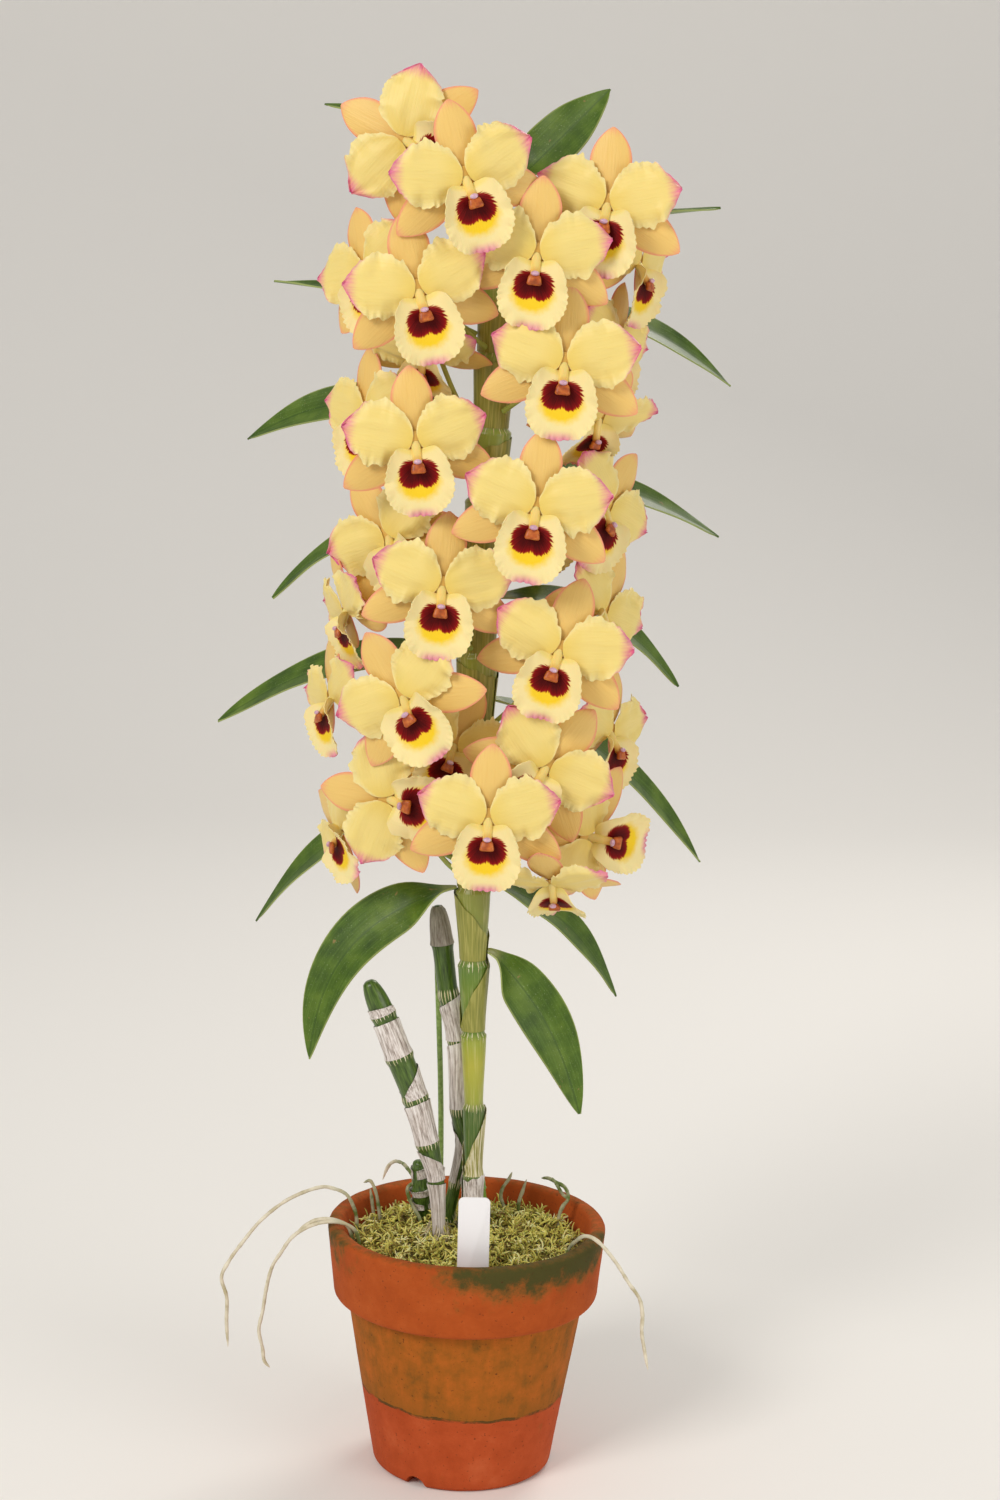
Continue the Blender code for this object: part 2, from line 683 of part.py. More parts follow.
def stalk_and_column(start, heading, size):
    """One tube: the stalk in a smooth bend from the cane to the back of the flower, then the column."""
    neck = Vector((0, 9, -2)) * MM * size
    reach = (start - neck).length
    bend_a = start + heading * reach * 0.4
    bend_b = neck + Vector((0, 1, -0.25)) * reach * 0.4
    points = []
    spans = 3
    for i in range(spans):
        t = i / spans
        near = (1 - t) ** 3 * start + 3 * (1 - t) ** 2 * t * bend_a
        points.append(near + 3 * (1 - t) * t * t * bend_b + t**3 * neck)
    points += [neck, Vector((0, 2, -2)) * MM * size, Vector((0, -8, -11.5)) * MM * size]
    radii = [STALK_RADIUS] * spans + [2.0 * MM, COLUMN_RADIUS * size, COLUMN_RADIUS * 0.95 * size]
    return tube(points, radii, 5)


def make_bloom(name, numbers, stalk_start, material):
    """One flower on its stalk, all one solid, in the bloom's own frame."""
    size = numbers[-1]
    place = bloom_place(*numbers)
    start = place.inverted() @ stalk_start[0]
    heading = place.to_3x3().inverted() @ stalk_start[1]
    flower = solid(name, perianth(size), material)
    stalk = solid("stalk", stalk_and_column(start, heading, size), material)
    combine(flower, [stalk], "UNION")
    flower.matrix_world = place
    return flower


def stalk_starts():
    """For each bloom, the point on the main cane that its stalk leaves from, and the way it sets off."""
    used = {}
    found = []
    for joint, across, up, forward, *_ in BLOOMS:
        rank = used.get(joint, 0)
        used[joint] = rank + 1
        height = JOINTS[joint] + (4 + 6 * rank) * MM
        heading = Vector((across, -forward - 14, 0)).normalized()
        start = main_cane_axis(height) + heading * (main_cane_radius(height) * 1.12 + CLEAR + 0.6 * MM)
        found.append((start, (heading + Vector((0, 0, 0.5))).normalized()))
    return found


def centre_on_floor(pieces):
    """Parents every piece to one empty, set so that the origin is under the middle of their box."""
    bpy.context.view_layer.update()
    corners = [obj.matrix_world @ Vector(vertex.co) for obj in pieces for vertex in obj.data.vertices]
    plant = bpy.data.objects.new("orchid_in_pot", None)
    bpy.context.scene.collection.objects.link(plant)
    for obj in pieces:
        obj.parent = plant
    middle = [(min(c[axis] for c in corners) + max(c[axis] for c in corners)) / 2 for axis in (0, 1)]
    plant.location = (-middle[0], -middle[1], -min(c.z for c in corners))


def build():
    clear_scene()
    terracotta = finish("terracotta", (0.58, 0.16, 0.05), 0.85)
    sphagnum = finish("sphagnum_moss", (0.35, 0.33, 0.08), 0.95)
    label_white = finish("white_label", (0.86, 0.85, 0.88), 0.4)
    stake_green = finish("green_coated_wire", (0.05, 0.14, 0.03), 0.45)
    cane_green = finish("green_cane", (0.22, 0.28, 0.05), 0.5)
    dry_sheath = finish("dry_sheath", (0.42, 0.40, 0.34), 0.8)
    root_skin = finish("root_skin", (0.66, 0.60, 0.46), 0.7)
    leaf_green = finish("leaf", (0.05, 0.13, 0.02), 0.35)
    petal_yellow = finish("petal", (0.90, 0.66, 0.20), 0.5)

    pieces = [make_pot(terracotta)]

    pieces.append(make_label(label_white))
    pieces.append(solid("stake", tube(STAKE_ROUTE, [STAKE_RADIUS] * len(STAKE_ROUTE), 8), stake_green))
    pieces.append(make_main_cane(cane_green))
    pieces.append(make_ringed_cane("second_cane", SECOND_CANE_ROUTE, SECOND_CANE_RADII, 8, dry_sheath))
    pieces.append(make_ringed_cane("old_cane", OLD_CANE_ROUTE, OLD_CANE_RADII, 8, dry_sheath))
    pieces.append(make_back_bulb(dry_sheath))
    for name, route in ROOTS.items():
        pieces.append(make_root(name, route, root_skin))

    cane_foot = [main_cane_axis(JOINTS[0] - CANE_SINK), main_cane_axis(JOINTS[0])]
    stems = [
        moss_stem(cane_foot, main_cane_radius(0) * 1.05, CANE_SIDES),
        moss_stem(SECOND_CANE_ROUTE, SECOND_CANE_RADII[1] * 1.1, 8),
        moss_stem(OLD_CANE_ROUTE, OLD_CANE_RADII[1] * 1.1, 8),
        moss_stem(BULB_ROUTE, BULB_RADII[1] * 1.1, 8),
        moss_stem(STAKE_ROUTE, STAKE_RADIUS, 8),
    ]
    for route in ROOTS.values():
        stems.append(moss_stem([Vector(place) * MM for place in route[:2]], 1.3 * ROOT_RADIUS, 6))
    pieces.append(combine(make_moss(sphagnum, stems), [label_slot(sphagnum)], "DIFFERENCE"))

    for number, numbers in enumerate(LEAVES, 1):
        pieces.append(make_leaf(f"leaf_{number:02d}", numbers, leaf_green))
    starts = stalk_starts()
    for number, numbers in enumerate(BLOOMS, 1):
        pieces.append(make_bloom(f"bloom_{number:02d}", numbers, starts[number - 1], petal_yellow))
    centre_on_floor(pieces)


build()
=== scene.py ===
"""Dresses the dendrobium orchid in its terracotta pot, piece by piece in the order that it goes together."""

import math
import random

import bmesh
import bpy
from mathutils import Matrix, Vector, noise


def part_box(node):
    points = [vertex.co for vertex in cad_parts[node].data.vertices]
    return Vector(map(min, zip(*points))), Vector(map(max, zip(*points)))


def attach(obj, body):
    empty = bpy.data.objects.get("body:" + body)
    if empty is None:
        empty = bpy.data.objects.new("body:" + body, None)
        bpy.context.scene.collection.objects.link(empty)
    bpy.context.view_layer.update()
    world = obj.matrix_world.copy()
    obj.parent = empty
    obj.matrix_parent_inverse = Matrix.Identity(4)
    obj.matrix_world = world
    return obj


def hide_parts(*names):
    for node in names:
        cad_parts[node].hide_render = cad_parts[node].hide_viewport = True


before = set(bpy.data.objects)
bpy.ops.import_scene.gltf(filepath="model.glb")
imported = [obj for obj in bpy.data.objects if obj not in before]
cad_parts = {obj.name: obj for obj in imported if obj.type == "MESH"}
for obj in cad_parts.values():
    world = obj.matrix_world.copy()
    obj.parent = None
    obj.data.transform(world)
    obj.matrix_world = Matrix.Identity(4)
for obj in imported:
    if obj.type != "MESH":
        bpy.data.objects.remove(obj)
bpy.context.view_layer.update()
MM = 0.001


# ---- The pot
# A machine-pressed terracotta pot, 150 mm across its rim, with a deep collar and a foot ring that has three
# arched notches. The clay is bare: water from inside has darkened the body down to a clean line above the
# foot, and green algae grows where the rim stays wet.

pot_low, pot_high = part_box("pot")
STAND = Vector(((pot_low.x + pot_high.x) / 2, (pot_low.y + pot_high.y) / 2, 0))  # the pot's axis on the floor


def colour(code):
    """An sRGB hex colour as the linear one that a shader takes."""
    parts = [int(code[i : i + 2], 16) / 255 for i in (1, 3, 5)]
    return (*[p / 12.92 if p <= 0.04045 else ((p + 0.055) / 1.055) ** 2.4 for p in parts], 1)


def add(tree, kind, inputs=(), stops=(), **settings):
    """Adds a node with its settings and links. An input takes a number, a hex colour, a socket, or a node for
    that node's first output. stops are the places and colours of a ramp. With no kind, it sets the shader.
    """
    node = tree.nodes.new("ShaderNode" + kind) if kind else tree.nodes["Principled BSDF"]
    for key, value in settings.items():
        setattr(node, key, value)
    for key, value in dict(inputs).items():
        if isinstance(value, bpy.types.Node):
            value = value.outputs[0]
        if isinstance(value, bpy.types.NodeSocket):
            tree.links.new(value, node.inputs[key])
        else:
            node.inputs[key].default_value = colour(value) if isinstance(value, str) else value
    if stops:
        ends = node.color_ramp.elements
        for end, (place, code) in zip(ends, (stops[0], stops[-1])):
            end.position = place
            end.color = colour(code)
        for place, code in stops[1:-1]:
            ends.new(place).color = colour(code)
    return node


def new_finish(name):
    """An empty material of that name, and its node tree."""
    made = bpy.data.materials.new(name)
    made.use_nodes = True
    return made, made.node_tree


def face_outward(bm):
    """Turns a closed shape, or several that are wound alike, the right way out."""
    if bm.calc_volume(signed=True) < 0:
        bmesh.ops.reverse_faces(bm, faces=bm.faces)


def piece(name, bm, slot, finishes, *stands_for, sharp=60):
    """The shape in bm, placed from the pot's axis, as a finished object that stands for the named solids."""
    bmesh.ops.remove_doubles(bm, verts=bm.verts, dist=0.002 * MM)
    face_outward(bm)
    bmesh.ops.translate(bm, vec=STAND, verts=bm.verts)
    mesh = bpy.data.meshes.new(name)
    bm.to_mesh(mesh)
    bm.free()
    for made in finishes:
        mesh.materials.append(made)
    mesh.shade_smooth()
    mesh.set_sharp_from_angle(angle=math.radians(sharp))
    obj = bpy.data.objects.new(name, mesh)
    bpy.context.scene.collection.objects.link(obj)
    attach(obj, "root")
    if stands_for:
        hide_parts(*stands_for)
    return obj


def ease(t):
    """A smooth step from 0 to 1 as t goes from 0 to 1."""
    t = min(max(t, 0), 1)
    return t * t * (3 - 2 * t)


def cut_away(bm, cutter):
    """bm with the closed shape in cutter cut out of it."""
    held = []
    for shape in (bm, cutter):
        bmesh.ops.recalc_face_normals(shape, faces=shape.faces)
        mesh = bpy.data.meshes.new("clay")
        shape.to_mesh(mesh)
        shape.free()
        held.append(bpy.data.objects.new("clay", mesh))
        bpy.context.scene.collection.objects.link(held[-1])
    knife = held[0].modifiers.new("notches", "BOOLEAN")
    knife.operation = "DIFFERENCE"
    knife.object = held[1]
    bpy.context.view_layer.update()
    evaluated = held[0].evaluated_get(bpy.context.evaluated_depsgraph_get())
    result = bmesh.new()
    result.from_mesh(evaluated.data)
    for obj in held:
        bpy.data.objects.remove(obj)
    return result


RIM = 75 * MM
POT_HEIGHT = 135 * MM
COLLAR_LOW = 95 * MM
COLLAR_LOW_RADIUS = 71 * MM
BODY_TOP_RADIUS = 64 * MM
FOOT_RADIUS = 48 * MM
WALL = 8 * MM
FOOT_RING_INNER = 37 * MM
FOOT_RECESS = 5 * MM
POT_FLOOR = 15 * MM
DRAIN_RADIUS = 10 * MM
NOTCH_RADIUS = 6 * MM
NOTCH_ANGLES = (240, 0, 120)
CUTTER_LENGTH = 22 * MM
POT_STEPS = 168
PROFILE_STEP = 4 * MM
STAIN_HEIGHT = 43 * MM

# radius, height and corner rounding (mm), from inside the foot ring round the outside and back
pot_profile = [
    (FOOT_RING_INNER, 0, 1.5),
    (FOOT_RADIUS, 0, 3),
    (BODY_TOP_RADIUS, COLLAR_LOW, 1.5),
    (COLLAR_LOW_RADIUS, COLLAR_LOW, 3),
    (RIM, POT_HEIGHT, 3.2),
    (RIM - WALL, POT_HEIGHT, 2.6),
    (43 * MM, POT_FLOOR, 2),
    (DRAIN_RADIUS, POT_FLOOR, 1.5),
    (DRAIN_RADIUS, FOOT_RECESS, 1.5),
    (FOOT_RING_INNER - 2 * MM, FOOT_RECESS, 1),
]
pot = bmesh.new()
corners = [pot.verts.new((radius, 0, height)) for radius, height, _ in pot_profile]
pot.faces.new(corners)
for corner, (_, _, rounding) in zip(corners, pot_profile):
    bmesh.ops.bevel(
        pot, geom=[corner], offset=rounding * MM, segments=5, profile=0.5, affect="VERTICES", material=-1
    )
bmesh.ops.delete(pot, geom=pot.faces[:], context="FACES_ONLY")
for edge in pot.edges[:]:
    cuts = int(edge.calc_length() / PROFILE_STEP)
    if cuts:
        bmesh.ops.subdivide_edges(pot, edges=[edge], cuts=cuts)
bmesh.ops.spin(
    pot, geom=pot.verts[:] + pot.edges[:], axis=(0, 0, 1), steps=POT_STEPS, angle=math.tau, use_merge=True
)
bmesh.ops.remove_doubles(pot, verts=pot.verts, dist=0.01 * MM)
for vertex in pot.verts:
    place = vertex.co
    out = Vector((place.x, place.y, 0)).normalized()
    uneven = 0.25 * noise.noise(place * 18) + 0.09 * noise.noise(place * 160)
    worn = 0.5 * max(0, noise.noise(place * 70 + Vector((3, 1, 2)))) * ease((place.z / MM - 129) / 6)
    vertex.co += out * uneven * MM - Vector((0, 0, worn * MM))
notches = bmesh.new()
for angle in NOTCH_ANGLES:
    turn = Matrix.Rotation(math.radians(angle), 4, "Z")
    middle = Matrix.Translation(((FOOT_RING_INNER + FOOT_RADIUS + 2 * MM) / 2, 0, 0))
    bmesh.ops.create_cone(
        notches, cap_ends=True, segments=32, radius1=NOTCH_RADIUS, radius2=NOTCH_RADIUS, depth=CUTTER_LENGTH,
        matrix=turn @ middle @ Matrix.Rotation(math.pi / 2, 4, "Y"),
    )
pot = cut_away(pot, notches)

# Weathered terracotta: dry and matt, with a fine grain, brown water stains, green algae and small dark specks
terracotta, tree = new_finish("weathered_terracotta")
coords = add(tree, "TexCoord").outputs["Object"]
here = add(tree, "Mapping", {"Vector": coords, "Location": -STAND})
apart = add(tree, "SeparateXYZ", {0: here})
height = apart.outputs["Z"]
patches = add(tree, "TexNoise", {"Vector": here, "Scale": 55, "Detail": 5, "Roughness": 0.62})  # 18 mm clouds
mottle = add(tree, "TexNoise", {"Vector": here, "Scale": 260, "Detail": 4, "Roughness": 0.7})  # 4 mm mottle
grit = add(tree, "TexNoise", {"Vector": here, "Scale": 1300, "Detail": 2})  # 0.8 mm grit
tall = add(tree, "Mapping", {"Vector": here, "Scale": (1, 1, 0.16)})
runs = add(tree, "TexNoise", {"Vector": tall, "Scale": 170, "Detail": 5, "Roughness": 0.7})  # 6 mm runs
blotch = add(tree, "TexNoise", {"Vector": here, "Scale": 85, "Detail": 7, "Roughness": 0.72})  # 12 mm
clay = add(tree, "ValToRGB", {0: patches}, stops=((0.3, "#9A4316"), (0.5, "#B5521D"), (0.7, "#C25F29")))
clay = add(tree, "MixRGB", {0: mottle, 1: clay, 2: "#A84C1B"})
foot_clay = add(tree, "ValToRGB", {0: patches}, stops=((0.3, "#A9451C"), (0.55, "#B95026"), (0.8, "#C76238")))
weathering = add(tree, "MixRGB", {0: 0.65, 1: runs, 2: blotch})
body_clay = add(tree, "ValToRGB", {0: weathering}, stops=(
    (0.34, "#76501A"), (0.48, "#A05C1A"), (0.62, "#B8631F")))
# The water line wanders by a few mm, and is a little lower on the right
wavy = add(tree, "Math", {0: patches, 1: 6 * MM, 2: height}, operation="MULTIPLY_ADD")
tilted = add(tree, "Math", {0: apart.outputs["X"], 1: 0.03, 2: wavy}, operation="MULTIPLY_ADD")
stain_at = STAIN_HEIGHT + 3 * MM  # the patches lift it by 3 mm on average
stained = add(tree, "MapRange", {0: tilted, 1: stain_at, 2: stain_at + 1.2 * MM},
              interpolation_type="SMOOTHSTEP")
below_collar = add(tree, "MapRange", {0: height, 1: COLLAR_LOW - 2 * MM, 2: COLLAR_LOW},
                   interpolation_type="SMOOTHSTEP")
clay = add(tree, "MixRGB", {0: below_collar, 1: body_clay, 2: clay})
clay = add(tree, "MixRGB", {0: stained, 1: foot_clay, 2: clay})
line = add(tree, "Math", {0: tilted, 1: stain_at + 0.4 * MM, 2: 0.9 * MM}, operation="COMPARE")
line = add(tree, "Math", {0: line, 1: add(tree, "MapRange", {0: blotch, 1: 0.4, 2: 0.56, 4: 0.8})},
           operation="MULTIPLY")
haze = add(tree, "MapRange", {0: tilted, 1: stain_at + 12 * MM, 2: stain_at, 4: 0.5})
for patchy in (add(tree, "MapRange", {0: blotch, 1: 0.35, 2: 0.65}), stained):
    haze = add(tree, "Math", {0: haze, 1: patchy}, operation="MULTIPLY")
clay = add(tree, "MixRGB", {0: haze, 1: clay, 2: "#5C4E1A"})
clay = add(tree, "MixRGB", {0: line, 1: clay, 2: "#3F3D1A"})
# Algae in the wet places: the rim and collar at the front right, and the far left edge
wet_right = add(tree, "VectorMath", {0: here, 1: (0.6, -0.8, 0)}, operation="DOT_PRODUCT").outputs["Value"]
wet_left = add(tree, "VectorMath", {0: here, 1: (-0.97, -0.2, 0)}, operation="DOT_PRODUCT").outputs["Value"]
wet_right = add(tree, "MapRange", {0: wet_right, 1: 0.034, 2: 0.074}, interpolation_type="SMOOTHSTEP")
wet_left = add(tree, "MapRange", {0: wet_left, 1: 0.058, 2: 0.078, 4: 0.7}, interpolation_type="SMOOTHSTEP")
wet = add(tree, "Math", {0: wet_right, 1: wet_left}, operation="MAXIMUM")
near_rim = add(tree, "MapRange", {0: height, 1: 106 * MM, 2: 136 * MM}, interpolation_type="SMOOTHSTEP")
wet = add(tree, "Math", {0: wet, 1: 0.62}, operation="MULTIPLY")
growth = add(tree, "Math", {0: near_rim, 1: wet, 2: blotch}, operation="MULTIPLY_ADD")
growth = add(tree, "MapRange", {0: growth, 1: 0.6, 2: 0.98}, interpolation_type="SMOOTHSTEP")
algae = add(tree, "ValToRGB", {0: growth}, stops=((0.1, "#7A5A22"), (0.45, "#4C5522"), (0.9, "#38461F")))
growth = add(tree, "Math", {0: growth, 1: 0.92}, operation="MULTIPLY")
clay = add(tree, "MixRGB", {0: growth, 1: clay, 2: algae})
rim_edge = add(tree, "MapRange", {0: height, 1: 130 * MM, 2: 135 * MM})
rim_dirt = add(tree, "Math", {0: rim_edge, 1: mottle}, operation="MULTIPLY")
rim_dirt = add(tree, "MapRange", {0: rim_dirt, 1: 0.36, 2: 0.6, 4: 0.65})
clay = add(tree, "MixRGB", {0: rim_dirt, 1: clay, 2: "#75501F"})
specks = add(tree, "MapRange", {0: add(tree, "TexNoise", {"Vector": here, "Scale": 620, "Detail": 3}),
                                1: 0.66, 2: 0.72, 4: 0.75})
clay = add(tree, "MixRGB", {0: specks, 1: clay, 2: "#4E2C14"})
grain = add(tree, "Bump", {"Height": grit, "Strength": 0.35, "Distance": 0.3 * MM})
grain = add(tree, "Bump", {"Height": mottle, "Strength": 0.3, "Distance": 0.8 * MM, "Normal": grain})
add(tree, None, {"Base Color": clay, "Roughness": 0.88, "Normal": grain, "Specular IOR Level": 0.2})
piece("pot_clay", pot, "terracotta", [terracotta], "pot", sharp=50)


# ---- The moss
# The pot is packed with sphagnum, alive on top: a plug of old brown moss, darkened as painted shade in the
# gaps, under curled yellow-green strands and the small star-shaped heads that they grow from. Pale root
# fibres lie round the feet of the canes.

MOSS_EDGE_HEIGHT = 120 * MM
MOSS_DOME = 8 * MM
MOSS_LUMP = 3 * MM
MOSS_RADIUS = 63.5 * MM
STRANDS = 2300
HEADS = 140
FIBRES = 90
FIBRE_FEET = ((2.8, -1.6), (-12, 12), (-15, -9))
# what stands in the moss: its place and its radius (mm)
STANDING = ((2.8, -1.6, 6.2), (-12, 12, 4.4), (-15, -9, 3.6), (-24, 22, 3.4), (-15, 26, 2.2), (4, 13, 5.5))


def grid(columns, rows, place):
    """A sheet of columns by rows faces, each corner at place(across, along), where both go from 0 to 1."""
    bm = bmesh.new()
    bm.loops.layers.uv.new("UVMap")
    bmesh.ops.create_grid(bm, x_segments=columns, y_segments=rows, size=0.5, calc_uvs=True)
    for vertex in bm.verts:
        vertex.co = place(vertex.co.x + 0.5, vertex.co.y + 0.5)
    return bm


def moss_top(x, y):
    """Height of the moss, domed and lumpy."""
    dome = MOSS_DOME * (1 - (math.hypot(x, y) / RIM) ** 2)
    return MOSS_EDGE_HEIGHT + dome + MOSS_LUMP * noise.noise(Vector((x, y, 0)) * 90)


def strand(start, heading, length, turn, thick, rows, shuffle):
    """One curled strand as rows of (centre, side, across, radius), closed to a point at both ends."""
    heading = heading.normalized()
    axis = heading.orthogonal().normalized()
    axis.rotate(Matrix.Rotation(shuffle.uniform(0, math.tau), 3, heading))
    bend = Matrix.Rotation(math.radians(turn) / (rows - 1), 3, axis)
    place = start.copy()
    found = []
    for i in range(rows):
        radius = thick * math.sin(math.pi * i / (rows - 1)) ** 0.5
        found.append((place.copy(), axis, heading.cross(axis), radius))
        place += heading * length / (rows - 1)
        heading = bend @ heading
    return found


def bundle(threads, sides):
    """Many separate closed threads in one shape: each is (rows, tone), and all have as many rows."""
    rows = len(threads[0][0])
    bm = bmesh.new()
    tone = bm.verts.layers.float.new("tone")
    bmesh.ops.create_grid(bm, x_segments=sides, y_segments=rows * len(threads) - 1, size=0.5)
    for index, vertex in enumerate(bm.verts):
        row, column = divmod(index, sides + 1)
        thread, step = divmod(row, rows)
        centre, side, across, radius = threads[thread][0][step]
        angle = math.tau * column / sides
        vertex.co = centre + (side * math.cos(angle) + across * math.sin(angle)) * radius
        vertex[tone] = threads[thread][1]
    between = [face for index, face in enumerate(bm.faces) if (index // sides + 1) % rows == 0]
    bmesh.ops.delete(bm, geom=between, context="FACES")
    return bm


def beside_stems(x, y):
    """True inside a cane, the stake or the label, where no moss grows."""
    if abs(x - 4 * MM) < 10 * MM and -60 * MM < y < -53 * MM:
        return True
    return any(math.hypot(x - sx * MM, y - sy * MM) < radius * MM for sx, sy, radius in STANDING)


moss_shuffle = random.Random(7)
strands = []
while len(strands) < STRANDS:
    reach = MOSS_RADIUS * math.sqrt(moss_shuffle.random())
    turn = moss_shuffle.uniform(0, math.tau)
    x, y = reach * math.cos(turn), reach * math.sin(turn)
    if beside_stems(x, y):
        continue
    start = Vector((x, y, moss_top(x, y) + moss_shuffle.uniform(-0.8, 1.6) * MM))
    yaw = moss_shuffle.uniform(0, math.tau)
    heading = Vector((math.cos(yaw), math.sin(yaw), moss_shuffle.uniform(-0.3, 0.6)))
    length = moss_shuffle.uniform(5, 12) * MM
    thick = moss_shuffle.uniform(0.4, 0.85) * MM
    if (start + heading.normalized() * length).xy.length > MOSS_RADIUS:
        continue
    strands.append((strand(start, heading, length, moss_shuffle.uniform(60, 260), thick, 7, moss_shuffle),
                    moss_shuffle.uniform(0.0, 0.8)))
heads = 0
while heads < HEADS:
    reach = (MOSS_RADIUS - 3 * MM) * math.sqrt(moss_shuffle.random())
    turn = moss_shuffle.uniform(0, math.tau)
    x, y = reach * math.cos(turn), reach * math.sin(turn)
    if beside_stems(x, y):
        continue
    heads += 1
    crown = Vector((x, y, moss_top(x, y) + moss_shuffle.uniform(1.0, 4.0) * MM))
    # the heads take the paler tones, nearer the painted highlight
    bright = moss_shuffle.uniform(0.45, 0.9)
    for spoke in range(9):
        yaw = math.tau * spoke / 9 + moss_shuffle.uniform(-0.3, 0.3)
        heading = Vector((math.cos(yaw), math.sin(yaw), moss_shuffle.uniform(-0.2, 0.9)))
        length = moss_shuffle.uniform(2.5, 5) * MM
        curl = moss_shuffle.uniform(40, 130)
        thick = moss_shuffle.uniform(0.35, 0.6) * MM
        strands.append((strand(crown, heading, length, curl, thick, 7, moss_shuffle),
                        bright + moss_shuffle.uniform(-0.12, 0.12)))

# Living sphagnum: damp and matt, each strand in its own tone from brown to pale yellow-green, the heads
# paler; the palest tones are painted highlight
moss_green, tree = new_finish("living_sphagnum")
tone = add(tree, "Attribute", attribute_name="tone").outputs["Fac"]
coords = add(tree, "TexCoord").outputs["Object"]
cloud = add(tree, "TexNoise", {"Vector": coords, "Scale": 60, "Detail": 2})  # 16 mm areas, drier and greener
cloud = add(tree, "Math", {0: cloud, 1: 0.5}, operation="SUBTRACT")
tone = add(tree, "Math", {0: tone, 1: cloud}, operation="ADD")
shade = add(tree, "ValToRGB", {0: tone}, stops=((0.0, "#7C6628"), (0.2, "#B2A94A"), (0.45, "#D2CA60"),
                                                (0.7, "#E2DB80"), (1.0, "#F0EBB4")))
add(tree, None, {"Base Color": shade, "Roughness": 0.8, "Subsurface Weight": 0.15,
                 "Subsurface Scale": 0.6 * MM})
piece("moss_strands", bundle(strands, 3), "sphagnum_moss", [moss_green], sharp=180)

# Old sphagnum under them: packed and brown, darkened as painted shade in the gaps between the strands
moss_brown_gap_shade, tree = new_finish("packed_sphagnum_gap_shade")
coords = add(tree, "TexCoord").outputs["Object"]
lumps = add(tree, "TexNoise", {"Vector": coords, "Scale": 420, "Detail": 5, "Roughness": 0.7})  # 2.4 mm lumps
shade = add(tree, "ValToRGB", {0: lumps}, stops=((0.3, "#382C0F"), (0.5, "#736426"), (0.7, "#9C923E")))
dents = add(tree, "Bump", {"Height": lumps, "Strength": 1, "Distance": 2 * MM})
add(tree, None, {"Base Color": shade, "Roughness": 0.95, "Normal": dents})
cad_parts["potting_moss"].data.materials.clear()
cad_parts["potting_moss"].data.materials.append(moss_brown_gap_shade)

fibres = []
for _ in range(FIBRES):
    x, y = moss_shuffle.choice(FIBRE_FEET)
    yaw = moss_shuffle.uniform(0, math.tau)
    out = Vector((math.cos(yaw), math.sin(yaw), 0))
    start = Vector((x, y, 0)) * MM + out * moss_shuffle.uniform(4, 6) * MM
    start.z = moss_top(start.x, start.y) + moss_shuffle.uniform(3, 11) * MM
    heading = out * moss_shuffle.uniform(0.1, 0.5) + Vector((0, 0, -1))
    fibres.append((strand(start, heading, moss_shuffle.uniform(8, 15) * MM, moss_shuffle.uniform(20, 90),
                          moss_shuffle.uniform(0.2, 0.4) * MM, 9, moss_shuffle), moss_shuffle.random()))


def fibre_finish(name, roughness, stops):
    """A dry fibre's skin, each thread in its own tone."""
    made, tree = new_finish(name)
    tone = add(tree, "Attribute", attribute_name="tone").outputs["Fac"]
    add(tree, None, {"Base Color": add(tree, "ValToRGB", {0: tone}, stops=stops), "Roughness": roughness})
    return made


# Dry papery fibre, straw to grey
straw = fibre_finish("dry_fibre", 0.85, ((0.0, "#8C7A52"), (0.5, "#C6B48C"), (1.0, "#DDD2B8")))
piece("foot_fibres", bundle(fibres, 3), "dry_sheath", [straw], sharp=180)


# ---- The label
# A blank tag of white polystyrene, 16.5 mm wide, stamped from thin sheet with rounded corners and pushed into
# the moss inside the front rim.

label_low, label_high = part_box("plant_label")
label = bmesh.new()
bmesh.ops.create_cube(label, size=1)
bmesh.ops.scale(label, vec=label_high - label_low, verts=label.verts)
bmesh.ops.translate(label, vec=(label_low + label_high) / 2 - STAND, verts=label.verts)
top_corners = [e for e in label.edges if all(v.co.z > label_high.z - 1 * MM for v in e.verts)
               and abs(e.verts[0].co.x - e.verts[1].co.x) < 1e-6]
bmesh.ops.bevel(label, geom=top_corners, offset=3 * MM, segments=8, profile=0.5, affect="EDGES", material=-1)
bmesh.ops.bevel(label, geom=label.edges[:], offset=0.12 * MM, segments=2, profile=0.5, affect="EDGES",
                material=-1)
# White polystyrene: smooth, satin, a little dusty towards the moss
white_plastic, tree = new_finish("white_polystyrene")
coords = add(tree, "TexCoord").outputs["Object"]
height = add(tree, "SeparateXYZ", {0: coords}).outputs["Z"]
dust = add(tree, "TexNoise", {"Vector": coords, "Scale": 350, "Detail": 4})
splash = add(tree, "MapRange", {0: height, 1: 128 * MM, 2: 118 * MM, 4: 0.5})
splash = add(tree, "Math", {0: splash, 1: dust}, operation="MULTIPLY")
shade = add(tree, "MixRGB", {0: splash, 1: "#F1F0F3", 2: "#B9AE94"})
add(tree, None, {"Base Color": shade, "Roughness": 0.38, "IOR": 1.59})
piece("label_tag", label, "white_label", [white_plastic], "plant_label", sharp=30)


# ---- The stake
# A thin steel rod in green plastic, drawn straight and cut to length, that stands behind the canes.

STAKE_ROUTE = ((-15, 26, 108), (-16, 26, 190), (-20, 26, 276))
STAKE_RADIUS = 1.5 * MM


